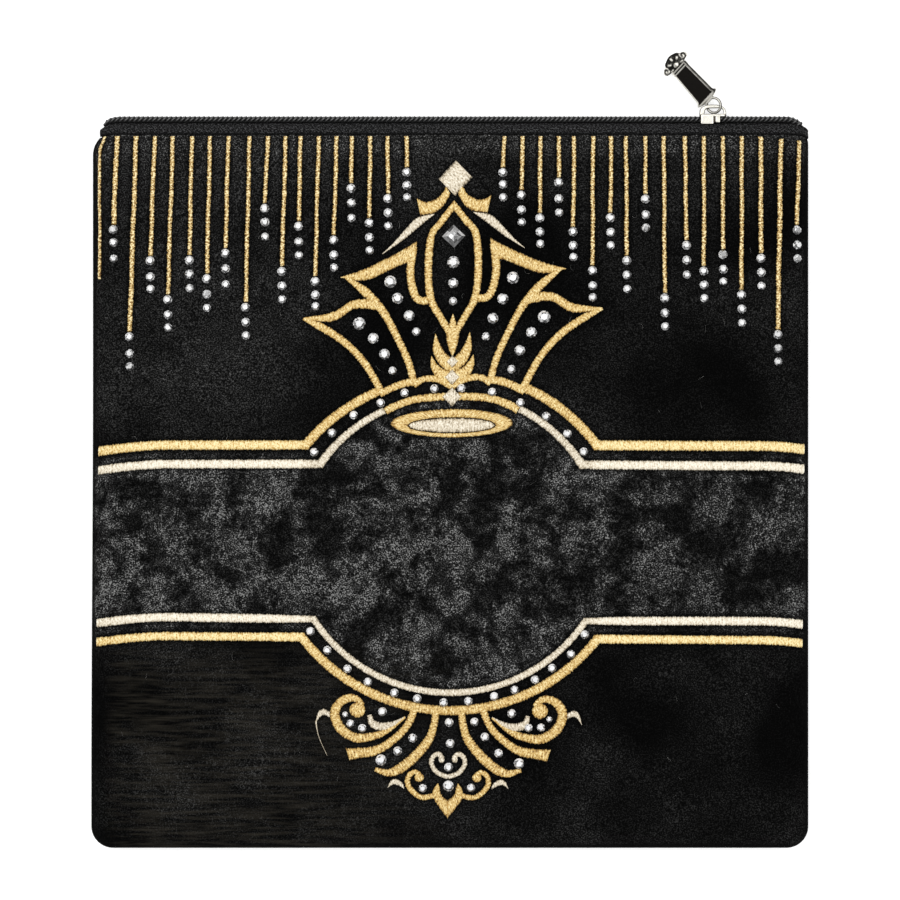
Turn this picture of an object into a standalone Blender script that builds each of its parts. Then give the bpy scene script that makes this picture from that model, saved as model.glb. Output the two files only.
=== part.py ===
"""A square velvet bag for a prayer shawl, lying on its back with its embroidered front up.

The origin is the middle of its underside: +X to the right, +Y towards the zip, +Z up out of the front.
Sizes below are in millimetres and are turned to metres where a mesh is made.
"""
import math
from collections import namedtuple

import bmesh
import bpy
import numpy as np
from mathutils import Matrix, Vector
from mathutils.geometry import delaunay_2d_cdt

MM = 0.001
GAP = 0.3                 # between pieces that lie on each other

# The filled bag: a flat pillow whose four sides are rounded, 22 mm thick at its edges
HALF_WIDTH = 179.5
TOP, BOTTOM = 184.0, -180.0
EDGE = 11.0               # radius of the rounded sides, seen from above
BACK_EDGE = 10.0          # height of the back's half of the rounding
BACK_RIM_Z = 10.0
FRONT_RIM_Z = BACK_RIM_Z + GAP
SWELL = 3.5               # how far the filling lifts the middle of the front
WALL = 2.0                # velvet, wadding and backing together
MIDDLE_Y = (TOP + BOTTOM) / 2
HALF_DEPTH = (TOP - BOTTOM) / 2
FLAT_X = HALF_WIDTH - EDGE
FLAT_Y = HALF_DEPTH - EDGE
QUARTER = math.pi / 2

# The zip along the top edge
SEAM_Y = 177.8            # where the velvet is sewn to the tape
SEAM_TURN = math.asin((SEAM_Y - MIDDLE_Y - FLAT_Y) / EDGE)
TAPE_DROP = 0.6           # the tape lies a little below the velvet
TAPE_THICK = 1.0
TAPE_END_TURN = math.radians(84)
TAPE_LEFT_TURN = math.asin(-6.0 / EDGE)
TAPE_RIGHT_TURN = math.asin(10.8 / EDGE)
ZIP_Z = (FRONT_RIM_Z + BACK_RIM_Z) / 2
COIL_OUT = 1.5            # how far the coils stand beyond the rounding's radius
COIL_WIDE, COIL_HIGH = 1.9, 1.2
COIL_LEFT_TURN, COIL_RIGHT_TURN = math.radians(-23), math.radians(47)
COIL_Z = GAP / 2 + COIL_HIGH
COIL_SIDES = 8

# The slider, whose middle is on the line between the two coils
SLIDER_LEFT, SLIDER_RIGHT = 125.9, 138.8
PLATE_IN, PLATE_OUT = 187.7, 188.6
FLANGE_LOW = 184.4
FLANGE_IN, FLANGE_OUT = 3.8, 4.9
POST_LEFT, POST_RIGHT, POST_HALF = 132.6, 135.6, 0.8
INNER_LOW, INNER_HIGH, INNER_HALF = 180.4, 181.6, 3.0
PARTING = POST_HALF + GAP - GAP / 2
BRIDGE_WIRE = 0.65
BRIDGE_LEFT, BRIDGE_RIGHT, BRIDGE_Y = 126.9, 138.0, 192.5
BRIDGE_SQUARENESS = 3.5

# The pull: a ring round the bridge, a long tag and a lobed end. It leans left and its left side dips.
HINGE = Vector((132.8, BRIDGE_Y, ZIP_Z))
PULL_HEADING = math.radians(131.5)   # in plan, from +X
PULL_DROOP = math.radians(11.2)
PULL_ROLL = math.radians(26)
RING_MEAN, RING_BAR = 3.8, 0.55
RING_AHEAD = 0.8          # the ring's middle lies this far beyond the bridge, along +Y
TAG_START, TAG_END = 3.5, 27.2
TAG_HALF_START, TAG_HALF_END = 5.0, 4.4
TAG_THICK = 2.0
RIM_WIDE, FIELD_DEEP = 1.0, 0.5
LOBE_REACH = 32.8

# Embroidery and stones
THREAD_HIGH = 1.0
CUT = GAP + 0.05          # what one colour keeps clear of its neighbour

Stroke = namedtuple("Stroke", "line widths")
Patch = namedtuple("Patch", "outline")
Stripe = namedtuple("Stripe", "out first_stone")
Stone = namedtuple("Stone", "name out up across")

# Where each stripe hangs, out from the middle line, and how high its first stone is
STRIPES = [Stripe(*row) for row in (
    (24.5, 159.1), (33.7, 146.8), (42.7, 134.9), (51.7, 152.7), (59.6, 127.2), (68.7, 107.0),
    (77.8, 134.2), (85.2, 112.2), (94.4, 143.4), (103.6, 93.9), (114.3, 120.5), (123.7, 107.7),
    (132.8, 116.7), (142.4, 96.6), (151.8, 115.5), (161.3, 77.8), (170.8, 130.3))]
STRIPE_TOP, STRIPE_WIDE = 177.0, 2.8
STRIPE_ENDS_ABOVE_STONE = 2.9
EDGE_STRIPE = Stripe(178.9, 104.5)
EDGE_STRIPE_WIDE = 2.0
HEADER_HIGH = 1.2
STRIPE_LEAN = {-1: 0.03, 1: 0.01}    # outwards, for each mm down, on the left and on the right

LENS_STONES = [Stone(*row) for row in (
    ("stone_lens_1", 0, 113.8, 6.5), ("stone_lens_2", 0, 103.3, 5.6), ("stone_lens_3", 0, 94.3, 4.4))]
SideStone = namedtuple("SideStone", "name left_x left_y right_x right_y across")
SIDE_STONES = [SideStone(*row) for row in (
    ("stone_inner", -29.8, 104.1, 31.5, 106.1, 6.6), ("stone_inner", -26.2, 95.8, 26.4, 95.5, 6.0),
    ("stone_inner", -20.4, 87.1, 21.4, 85.8, 5.8), ("stone_inner", -16.8, 79.1, 18.0, 76.7, 4.6),
    ("stone_outer", -45.4, 83.2, 47.1, 86.5, 6.8), ("stone_outer", -38.3, 75.8, 40.7, 78.8, 5.8),
    ("stone_outer", -32.7, 67.9, 34.9, 69.8, 5.7), ("stone_outer", -28.7, 59.6, 30.8, 60.4, 4.6))]
STONES_PER_ROW = 4
SQUARE_STONE_UP, SQUARE_STONE_SIDE = 126.8, 8.2
STONE_HIGH, STONE_GIRDLE = 2.2, 0.7
STONE_TABLE = 0.56        # of its width
STONE_FACETS = 8


def clear_scene():
    for old in list(bpy.data.objects):
        bpy.data.objects.remove(old, do_unlink=True)


def material(name, colour, roughness, metallic=0.0):
    made = bpy.data.materials.new(name)
    made.use_nodes = True
    shader = made.node_tree.nodes["Principled BSDF"]
    shader.inputs["Base Color"].default_value = (*colour, 1.0)
    shader.inputs["Roughness"].default_value = roughness
    shader.inputs["Metallic"].default_value = metallic
    return made


def add_object(name, mesh, finish, smooth_degrees=None):
    mesh.name = name
    made = bpy.data.objects.new(name, mesh)
    bpy.context.scene.collection.objects.link(made)
    mesh.materials.append(finish)
    if smooth_degrees:
        mesh.shade_smooth()
        mesh.set_sharp_from_angle(angle=math.radians(smooth_degrees))
    return made


def mesh_from(points_mm, faces):
    made = bpy.data.meshes.new("piece")
    made.from_pydata([tuple(float(v) * MM for v in p) for p in points_mm], [], faces)
    made.update()
    return made


# The pillow's surface

def swell(x, y):
    """Parabola in both directions, nothing at the edges and SWELL in the middle."""
    across = np.clip(1 - (x / HALF_WIDTH) ** 2, 0, 1)
    along = np.clip(1 - ((y - MIDDLE_Y) / HALF_DEPTH) ** 2, 0, 1)
    return SWELL * across * along


def stations(flat, cells, low_turn, high_turn, turns):
    """Places across the bag, each a flat distance and an angle round the edge, in order."""
    low = [(-flat, low_turn * (1 - k / turns)) for k in range(turns)] if low_turn < 0 else []
    middle = [(-flat + 2 * flat * k / cells, 0.0) for k in range(cells + 1)]
    high = [(flat, high_turn * (k + 1) / turns) for k in range(turns)] if high_turn > 0 else []
    return low + middle + high


def pillow(across, along, inset=0.0, back=False):
    """Grid of points, rows along Y: flat middle, quarter circles at the sides, eighths of a ball at corners."""
    flat_x, turn_x = np.array(across).T
    flat_y, turn_y = np.array(along).T
    radius = EDGE - inset
    s, t = np.sin(turn_x)[None, :], np.sin(turn_y)[:, None]
    x = flat_x[None, :] + radius * s * np.sqrt(1 - t * t / 2)
    y = MIDDLE_Y + flat_y[:, None] + radius * t * np.sqrt(1 - s * s / 2)
    height = np.cos(turn_x)[None, :] * np.cos(turn_y)[:, None]
    if back:
        z = BACK_RIM_Z - (BACK_EDGE - inset) * height
    else:
        z = FRONT_RIM_Z + radius * height + swell(x, y)
    return np.stack([x, y, z], axis=-1)


def cloth_wall(name, across, along, outer_inset, thick, finish, back=False):
    """One closed sheet between the pillow's surface at two depths, joined round its rim."""
    outer = pillow(across, along, outer_inset, back)
    inner = pillow(across, along, outer_inset + thick, back)
    rows, columns = outer.shape[:2]
    count = rows * columns

    def corner(row, column, layer):
        return layer * count + row * columns + column

    faces = []
    for row in range(rows - 1):
        for column in range(columns - 1):
            ring = [(row, column), (row, column + 1), (row + 1, column + 1), (row + 1, column)]
            faces.append([corner(*place, 0) for place in ring])
            faces.append([corner(*place, 1) for place in reversed(ring)])
    rim = [(0, c) for c in range(columns)] + [(r, columns - 1) for r in range(1, rows)]
    rim += [(rows - 1, c) for c in range(columns - 2, -1, -1)] + [(r, 0) for r in range(rows - 2, 0, -1)]
    for here, after in zip(rim, rim[1:] + rim[:1]):
        faces.append([corner(*after, 0), corner(*here, 0), corner(*here, 1), corner(*after, 1)])
    if back:
        faces = [face[::-1] for face in faces]
    points = np.concatenate([outer.reshape(-1, 3), inner.reshape(-1, 3)])
    return add_object(name, mesh_from(points, faces), finish, 40)


def build_panels(velvet):
    sides = stations(FLAT_X, 12, -QUARTER, QUARTER, 5)
    length = stations(FLAT_Y, 10, -QUARTER, SEAM_TURN, 5)
    cloth_wall("front_panel", sides, length, 0.0, WALL, velvet)
    sides = stations(FLAT_X, 10, -QUARTER, QUARTER, 4)
    length = stations(FLAT_Y, 10, -QUARTER, SEAM_TURN, 4)
    cloth_wall("back_panel", sides, length, 0.0, WALL, velvet, back=True)


def build_tapes(tape):
    sides = stations(FLAT_X, 12, TAPE_LEFT_TURN, TAPE_RIGHT_TURN, 3)
    start = SEAM_TURN + GAP / EDGE
    steps = 4
    length = [(FLAT_Y, start + (TAPE_END_TURN - start) * k / steps) for k in range(steps + 1)]
    cloth_wall("zip_tape_front", sides, length, TAPE_DROP, TAPE_THICK, tape)
    cloth_wall("zip_tape_back", sides, length, TAPE_DROP, TAPE_THICK, tape, back=True)


def ease(value, start, end):
    share = np.clip((np.asarray(value, float) - start) / (end - start), 0, 1)
    return share * share * (3 - 2 * share)


def swept_tube(path, ring, close_ends=True):
    """Points and faces of a profile carried along a path: ring gives each station's points."""
    sides = len(ring(path[0], 0))
    points = [p for k, place in enumerate(path) for p in ring(place, k)]
    faces = []
    for k in range(len(path) - 1):
        for j in range(sides):
            a, b = k * sides + j, k * sides + (j + 1) % sides
            faces.append([a, b, b + sides, a + sides])
    if close_ends:
        last = (len(path) - 1) * sides
        faces.append(list(range(sides))[::-1])
        faces.append([last + j for j in range(sides)])
    return points, faces


def outward(mesh):
    """Turns every face of a closed mesh outwards."""
    work = bmesh.new()
    work.from_mesh(mesh)
    bmesh.ops.recalc_face_normals(work, faces=work.faces)
    work.to_mesh(mesh)
    work.free()
    return mesh


def build_coils(nylon):
    line = stations(FLAT_X, 24, COIL_LEFT_TURN, COIL_RIGHT_TURN, 3)
    extra = [(x, 0.0) for x in (126, 128.5, 131.5, 134, 136.5, 139, 145, 152, 160)]
    line = sorted(set(line + extra), key=lambda place: (place[0], place[1]))
    path = pillow(line, [(FLAT_Y, QUARTER)], inset=-COIL_OUT)[0]
    for name, side in (("zip_coil_front", 1), ("zip_coil_back", -1)):
        def ring(place, k, side=side):
            x, y = place[0], place[1]
            apart = PARTING * ease(x, SLIDER_LEFT, SLIDER_LEFT + 5) * (1 - 0.6 * ease(x, 136.6, 152))
            centre = ZIP_Z + side * (COIL_Z + apart)
            turned = [2 * math.pi * (j + 0.5) / COIL_SIDES for j in range(COIL_SIDES)]
            return [(x, y + COIL_WIDE * math.cos(a), centre + COIL_HIGH * math.sin(a)) for a in turned]
        points, faces = swept_tube(path, ring)
        add_object(name, outward(mesh_from(points, faces)), nylon, 50)


# Solids joined into one body

def block(low, high):
    points = [(x, y, z) for x in (low[0], high[0]) for y in (low[1], high[1]) for z in (low[2], high[2])]
    faces = [(0, 1, 3, 2), (4, 6, 7, 5), (0, 4, 5, 1), (2, 3, 7, 6), (0, 2, 6, 4), (1, 5, 7, 3)]
    return outward(mesh_from(points, faces))


def fuse(name, meshes, finish, smooth_degrees=40):
    """Boolean union of meshes that reach into each other, as one object."""
    base = add_object(name, meshes[0], finish)
    for k, mesh in enumerate(meshes[1:]):
        helper = add_object(f"guide_{name}_{k}", mesh, finish)
        helper.hide_render = True
        helper.display_type = "WIRE"
        join = base.modifiers.new(f"join_{k}", "BOOLEAN")
        join.operation = "UNION"
        join.object = helper
    return base


def wire(path, radius, sides, closed=False):
    """Round wire along a path of points, mm."""
    path = [Vector(p) for p in path]
    count = len(path)
    lean = Vector((0, 0, 1))

    def ring(place, k):
        before = path[(k - 1) % count] if closed or k else path[k]
        after = path[(k + 1) % count] if closed or k < count - 1 else path[k]
        ahead = (after - before).normalized()
        side = ahead.cross(lean).normalized()
        up = side.cross(ahead).normalized()
        turned = [2 * math.pi * j / sides for j in range(sides)]
        return [place + radius * (math.cos(a) * side + math.sin(a) * up) for a in turned]

    points, faces = swept_tube(path, ring, close_ends=not closed)
    if closed:
        last = (count - 1) * sides
        for j in range(sides):
            faces.append([last + j, last + (j + 1) % sides, (j + 1) % sides, j])
    return outward(mesh_from(points, faces))


def build_slider(metal):
    low, high = ZIP_Z - FLANGE_OUT, ZIP_Z + FLANGE_OUT
    parts = [block((SLIDER_LEFT, PLATE_IN, low), (SLIDER_RIGHT, PLATE_OUT, high))]
    for side in (-1, 1):
        edges = sorted((ZIP_Z + side * FLANGE_IN, ZIP_Z + side * (FLANGE_OUT - 0.05)))
        flange_end = SLIDER_RIGHT - 1.2
        flange_low = (SLIDER_LEFT + 0.1, FLANGE_LOW, edges[0])
        parts.append(block(flange_low, (flange_end, PLATE_OUT - 0.2, edges[1])))
    post_low = (POST_LEFT, INNER_LOW + 0.3, ZIP_Z - POST_HALF)
    parts.append(block(post_low, (POST_RIGHT, PLATE_OUT - 0.3, ZIP_Z + POST_HALF)))
    inner_low = (SLIDER_LEFT + 0.6, INNER_LOW, ZIP_Z - INNER_HALF)
    parts.append(block(inner_low, (SLIDER_RIGHT - 1.4, INNER_HIGH, ZIP_Z + INNER_HALF)))
    middle, half = (BRIDGE_LEFT + BRIDGE_RIGHT) / 2, (BRIDGE_RIGHT - BRIDGE_LEFT) / 2
    foot = PLATE_OUT - 0.4
    steps = 14
    path = []
    for k in range(steps + 1):
        angle = math.pi * (1 - k / steps)
        share = 2 / BRIDGE_SQUARENESS
        x = middle + half * math.copysign(abs(math.cos(angle)) ** share, math.cos(angle))
        path.append((x, foot + (BRIDGE_Y - foot) * math.sin(angle) ** share, ZIP_Z))
    parts.append(wire(path, BRIDGE_WIRE, 8))
    fuse("zip_slider", parts, metal)


def pull_frame():
    """The pull's own frame: X along the tag, Y to its left and down, Z out of its face."""
    flat = Vector((math.cos(PULL_HEADING), math.sin(PULL_HEADING), 0))
    along = flat * math.cos(PULL_DROOP) - Vector((0, 0, math.sin(PULL_DROOP)))
    level = Vector((0, 0, 1)).cross(flat)
    face = along.cross(level)
    left = level * math.cos(PULL_ROLL) - face * math.sin(PULL_ROLL)
    face = along.cross(left)
    turned = Matrix((along, left, face)).transposed().to_4x4()
    ahead = Vector((0, RING_AHEAD, 0))
    ring_middle = HINGE + ahead - face * ahead.dot(face)
    return Matrix.Translation(ring_middle * MM) @ turned


def tag_plate(outline, low, high):
    """A flat plate from an outline of tag distances and half widths, mirrored, between two heights."""
    ring = list(outline) + [(a, -w) for a, w in reversed(outline)]
    count = len(ring)
    points = [(a, w, z) for z in (low, high) for a, w in ring]
    faces = [list(range(count))[::-1], [count + k for k in range(count)]]
    faces += [[k, (k + 1) % count, (k + 1) % count + count, k + count] for k in range(count)]
    return outward(mesh_from(points, faces))


def build_pull(metal):
    half = TAG_THICK / 2
    shoulder = [(TAG_START, 1.6), (TAG_START + 0.4, 3.0), (TAG_START + 1.6, 4.2), (TAG_START + 3.4, TAG_HALF_START)]
    body = tag_plate(shoulder + [(TAG_END, TAG_HALF_END)], -half, half - FIELD_DEEP)
    turns = [2 * math.pi * k / 20 for k in range(20)]
    ring = wire([(RING_MEAN * math.cos(a), RING_MEAN * math.sin(a), 0) for a in turns], RING_BAR, 6, closed=True)
    parts = [body, ring]
    rim_low = half - FIELD_DEEP - 0.2
    for side in (-1, 1):
        corners = []
        for a, w in ((TAG_START + 3.2, TAG_HALF_START), (TAG_END - 0.6, TAG_HALF_END + 0.02)):
            corners += [(a, side * (w - 0.05)), (a, side * (w - RIM_WIDE))]
        order = [corners[0], corners[2], corners[3], corners[1]]
        points = [(a, w, z) for z in (rim_low, half) for a, w in order]
        faces = [(0, 1, 2, 3), (7, 6, 5, 4), (0, 4, 5, 1), (1, 5, 6, 2), (2, 6, 7, 3), (3, 7, 4, 0)]
        parts.append(outward(mesh_from(points, faces)))
    for start in (TAG_END - 2.9, TAG_END - 1.2):
        reach = TAG_HALF_END - 0.3
        parts.append(block((start, -reach, rim_low), (start + 0.9, reach, half + 0.1)))
    lobes = [(TAG_END - 0.4, TAG_HALF_END - 0.3), (TAG_END + 0.4, 6.6), (TAG_END + 1.8, 7.6)]
    lobes += [(TAG_END + 3.2, 7.0), (TAG_END + 3.7, 5.0), (TAG_END + 4.4, 4.0), (TAG_END + 5.2, 2.9)]
    lobes += [(LOBE_REACH, 1.2)]
    parts.append(tag_plate(lobes, -half + 0.1, half + 0.3))
    parts.append(tag_plate([(TAG_START - 0.6, 1.9), (TAG_START + 0.8, 2.6)], -0.5, 0.4))
    pull = fuse("zip_pull", parts, metal)
    place = pull_frame()
    carrier = bpy.data.objects.new("pull_hinge", None)
    bpy.context.scene.collection.objects.link(carrier)
    carrier.location = HINGE * MM
    for piece in [pull] + [o for o in bpy.data.objects if o.name.startswith("guide_zip_pull")]:
        piece.data.transform(Matrix.Translation(-HINGE * MM) @ place)
        piece.parent = carrier


# The drawing on the front

def on_bag(points, side):
    """From the even drawing, out and up, to the bag: its hooping pulled the drawing a little askew."""
    out, up = np.asarray(points, float).T
    x = side * out + 0.5 + 0.0105 * up
    y = up + 2.6 * np.sin(math.pi * x / 180) * ease(up, 20, 80)
    low_bands = ease(-up, -60, -25)
    droop = 4.5 * ease(-x, 135, 176) + 2.5 * ease(x, 140, 176)
    return np.stack([x, y - droop * low_bands], axis=-1)


def smooth_line(points, steps=3, closed=False):
    """Catmull-Rom curve through hand-placed points."""
    points = np.asarray(points, float)
    if len(points) < 3:
        return points
    if closed:
        points = np.concatenate([points[-1:], points, points[:2]])
    else:
        points = np.concatenate([2 * points[:1] - points[1:2], points, 2 * points[-1:] - points[-2:-1]])
    found = []
    for k in range(1, len(points) - 2):
        a, b, c, d = points[k - 1:k + 3]
        for share in np.arange(steps) / steps:
            found.append(0.5 * (2 * b + (c - a) * share + (2 * a - 5 * b + 4 * c - d) * share ** 2
                                + (3 * b - a - 3 * c + d) * share ** 3))
    if not closed:
        found.append(points[-2])
    return np.array(found)


def stroke_polygons(line, widths):
    """Quads along a line whose width runs evenly through the given widths."""
    line = np.asarray(line, float)
    run = np.concatenate([[0], np.cumsum(np.linalg.norm(np.diff(line, axis=0), axis=1))])
    width = np.interp(run / run[-1], np.linspace(0, 1, len(widths)), widths)
    heading = np.gradient(line, axis=0)
    heading /= np.linalg.norm(heading, axis=1)[:, None]
    side = np.stack([-heading[:, 1], heading[:, 0]], axis=-1) * width[:, None] / 2
    left, right = line + side, line - side
    return [[right[k], right[k + 1], left[k + 1], left[k]] for k in range(len(line) - 1)]


def shape_polygons(shape, side):
    if isinstance(shape, Stroke):
        return stroke_polygons(on_bag(shape.line, side), shape.widths)
    return [on_bag(shape.outline, side)]


def grown(polygon):
    """The polygon and a band round it, so that a neighbour cut by both keeps its distance."""
    polygon = np.asarray(polygon)
    band = []
    for a, b in zip(polygon, np.roll(polygon, -1, axis=0)):
        along = b - a
        length = np.linalg.norm(along)
        if length < 1e-6:
            continue
        along = along / length * CUT
        across = np.array([-along[1], along[0]])
        band.append([a - along - across, b + along - across, b + along + across, a - along + across])
    return [polygon] + band


def tidy_polygon(polygon):
    """Counter-clockwise, without repeated points, or nothing if it has no area."""
    kept = [p for k, p in enumerate(polygon) if np.linalg.norm(p - polygon[k - 1]) > 1e-4]
    if len(kept) < 3:
        return None
    kept = np.array(kept)
    x, y = kept.T
    area = 0.5 * np.sum(x * np.roll(y, -1) - y * np.roll(x, -1))
    if abs(area) < 1e-5:
        return None
    return kept if area > 0 else kept[::-1]


def front_height(x, y):
    """Height of the velvet over a point of the plan, its round edges included."""
    s = np.clip((np.abs(x) - FLAT_X) / EDGE, 0, 0.999)
    t = np.clip((np.abs(y - MIDDLE_Y) - FLAT_Y) / EDGE, 0, 0.999)
    return FRONT_RIM_Z + EDGE * np.sqrt((1 - s * s) * (1 - t * t)) + swell(x, y)


def lifted(plan, lift):
    """Points raised from the velvet along its normal."""
    x, y = plan.T
    step = 0.05
    rise_x = (front_height(x + step, y) - front_height(x - step, y)) / (2 * step)
    rise_y = (front_height(x, y + step) - front_height(x, y - step)) / (2 * step)
    normal = np.stack([-rise_x, -rise_y, np.ones_like(x)], axis=-1)
    normal /= np.linalg.norm(normal, axis=1)[:, None]
    return np.stack([x, y, front_height(x, y)], axis=-1) + normal * lift


def largest_island(triangles):
    """The triangles that hang together by shared edges, the biggest such group."""
    owner = {}
    for k, triangle in enumerate(triangles):
        for a, b in zip(triangle, triangle[1:] + triangle[:1]):
            owner.setdefault(frozenset((a, b)), []).append(k)
    group = list(range(len(triangles)))

    def root(k):
        while group[k] != k:
            group[k] = group[group[k]]
            k = group[k]
        return k

    for pair in owner.values():
        for other in pair[1:]:
            group[root(other)] = root(pair[0])
    roots = [root(k) for k in range(len(triangles))]
    best = max(set(roots), key=roots.count)
    return [triangle for triangle, r in zip(triangles, roots) if r == best]


def relief(name, polygons, finish, clear_of=(), lift=GAP, high=THREAD_HIGH):
    """Raised embroidery: the union of flat polygons less their neighbours, laid on the velvet as one body."""
    loops, kinds = [], []
    cutters = [band for polygon in clear_of for band in grown(polygon)]
    for kind, group in ((1, polygons), (0, cutters)):
        for polygon in group:
            loop = tidy_polygon(np.asarray(polygon))
            if loop is not None:
                loops.append(loop)
                kinds.append(kind)
    points, faces = [], []
    for loop in loops:
        faces.append(list(range(len(points), len(points) + len(loop))))
        points += [Vector(p) for p in loop]
    found = delaunay_2d_cdt(points, [], faces, 0, 1e-4, True)
    plan, triangles, origins = np.array([tuple(p) for p in found[0]]), found[2], found[5]
    kept = [list(t) for t, o in zip(triangles, origins) if o and all(kinds[k] for k in o)]
    kept = largest_island(kept)
    used = sorted({corner for triangle in kept for corner in triangle})
    number = {corner: k for k, corner in enumerate(used)}
    kept = [[number[corner] for corner in triangle] for triangle in kept]
    plan = plan[used]
    count = len(used)
    edges = {}
    for triangle in kept:
        for a, b in zip(triangle, triangle[1:] + triangle[:1]):
            edges[(a, b)] = True
    faces = [t for t in kept] + [[corner + count for corner in reversed(t)] for t in kept]
    faces += [[b, a, a + count, b + count] for a, b in edges if (b, a) not in edges]
    corners = np.concatenate([lifted(plan, lift + high), lifted(plan, lift)])
    return add_object(name, mesh_from(corners, faces), finish)


def both_sides(shapes):
    return [polygon for side in (-1, 1) for shape in shapes for polygon in shape_polygons(shape, side)]


def arc(centre_up, radius, start_out, end_out, steps):
    """Points on a circle centred on the middle line, between two distances out; a minus radius hangs down."""
    turn = np.linspace(math.asin(start_out / abs(radius)), math.asin(end_out / abs(radius)), steps + 1)
    return [(abs(radius) * math.sin(a), centre_up + radius * math.cos(a)) for a in turn]


def oval(out, up, half_wide, half_high, sides):
    turns = [2 * math.pi * (k + 0.5) / sides for k in range(sides)]
    return Patch([(out + half_wide * math.cos(a), up + half_high * math.sin(a)) for a in turns])


def diamond(up, half_wide, half_high):
    return [on_bag([(0, up - half_high), (half_wide, up)], 1)[0], on_bag([(half_wide, up)], 1)[0],
            on_bag([(0, up + half_high)], 1)[0], on_bag([(half_wide, up)], -1)[0]]


def stripe_middle(side, out, up):
    """The stripes hang from the seam, leaning a little outwards; the whole comb sits right of the middle line."""
    lean = 0.0 if out == EDGE_STRIPE.out else STRIPE_LEAN[side] * (STRIPE_TOP - up)
    return side * (out + lean) + 2.6 + 0.006 * out


def build_stripes(gold):
    """A comb of satin stripes on each side, joined by one row of stitches along the seam."""
    for side, name in ((-1, "stripes_left"), (1, "stripes_right")):
        rows = STRIPES + ([EDGE_STRIPE] if side < 0 else [])
        polygons = []
        for row in rows:
            end = row.first_stone + STRIPE_ENDS_ABOVE_STONE + 2.6 * math.sin(math.pi * side * row.out / 180)
            half = (EDGE_STRIPE_WIDE if row is EDGE_STRIPE else STRIPE_WIDE) / 2
            edges = []
            for up in (STRIPE_TOP - 0.4, STRIPE_TOP - 3.5, (STRIPE_TOP + end) / 2, end):
                x = stripe_middle(side, row.out, up)
                edges.append([(x - half, up), (x + half, up)])
            for upper, lower in zip(edges, edges[1:]):
                polygons.append([lower[0], lower[1], upper[1], upper[0]])
        floor = STRIPE_TOP - HEADER_HIGH
        ends = sorted(stripe_middle(side, row.out, STRIPE_TOP) for row in rows)
        ends = sorted(ends + [side * FLAT_X, side * (FLAT_X + 3)] if side < 0 else ends + [FLAT_X])
        for left, right in zip(ends, ends[1:]):
            polygons.append([(left, floor), (right, floor), (right, STRIPE_TOP), (left, STRIPE_TOP)])
        relief(name, polygons, gold)


# Crown

HORN = Patch([(4.0, 151.7), (1.9, 148.2), (6.3, 140.8), (16.8, 138.0), (18.7, 146.5), (11.5, 145.0)])
WING = Patch([(9.9, 138.3), (18.2, 137.0), (24.2, 131.5), (30.0, 125.0), (35.7, 119.6), (25.5, 125.8),
              (17.9, 131.8)])
LENS = Stroke(smooth_line([(-0.3, 141.5), (6.5, 134.0), (11.2, 127.2), (12.5, 110.0), (10.9, 95.5),
                           (5.8, 86.0), (-0.3, 76.8)], 2), (3.5,))
HOOK = Stroke(smooth_line([(12.5, 95.2), (17.0, 95.7), (19.8, 100.0), (21.5, 110.0), (19.9, 122.6)], 2), (4.0,))
UPPER_BEAM = Patch([(18.3, 125.2), (30.0, 118.9), (44.0, 112.6), (56.6, 108.6), (43.4, 106.4), (24.3, 114.6),
                    (20.0, 113.0)])
LOWER_BEAM = Stroke(smooth_line([(52.0, 108.0), (43.0, 100.0), (34.5, 90.0), (26.8, 75.5), (21.9, 64.5),
                                 (18.8, 53.4)], 2), (3.4,))
ARCH = Patch([(34.8, 92.6), (40.3, 96.8), (50.3, 96.8), (60.5, 91.0), (74.9, 89.0), (74.6, 86.3),
              (59.5, 86.4), (49.8, 92.2), (40.5, 91.2)])
OUTER_BEAM = Stroke(smooth_line([(74.9, 88.6), (64.0, 82.8), (53.0, 75.0), (43.6, 64.5), (34.9, 49.3)], 2),
                    (1.2, 3.4, 3.5, 3.5, 3.5))
BASE_UPPER = Stroke(smooth_line([(36.2, 48.7), (29.4, 52.0), (23.4, 54.0), (18.0, 54.6)], 2), (3.2,))
SCALLOP = Stroke(smooth_line([(19.3, 52.8), (15.0, 55.6), (10.6, 56.0), (5.5, 54.7), (-0.3, 51.4)], 2), (2.9,))
BASE_LOWER = Stroke(smooth_line([(33.2, 39.7), (29.0, 42.0), (19.1, 45.5), (5.9, 46.7), (-0.3, 46.7)], 2), (3.4,))
BUD = Patch([(-0.3, 89.5), (0.3, 89.5), (2.9, 76.0), (1.2, 66.0), (1.2, 50.5), (-0.3, 50.5)])
UPPER_LEAF = Patch([(0.2, 61.0), (2.4, 61.0), (9.4, 70.9), (8.3, 77.8), (6.3, 71.2), (0.2, 66.0)])
LOWER_LEAF = Patch([(0.2, 54.0), (3.3, 54.6), (8.2, 58.2), (10.5, 62.7), (10.3, 66.6), (8.4, 63.3), (0.2, 59.2)])
GEMS = (("crown_gem_1", 64.2, 2.9, 3.2), ("crown_gem_2", 56.4, 3.7, 4.0), ("crown_gem_3", 46.6, 4.9, 5.0))


def ring_polygons(steps=28):
    """The gold oval below the crown: quads between an outer oval and the opening for its cream filling."""
    polygons = []
    for k in range(steps):
        quad = []
        for turn, wide, high, up in ((k, 30.5, 7.15, 33.4), (k + 1, 30.5, 7.15, 33.4),
                                     (k + 1, 21.8, 3.9, 32.3), (k, 21.8, 3.9, 32.3)):
            a = 2 * math.pi * (turn + 0.5) / steps
            quad.append(on_bag([(wide * math.cos(a), up + high * math.sin(a))], 1)[0])
        polygons.append(quad)
    return polygons


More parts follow.
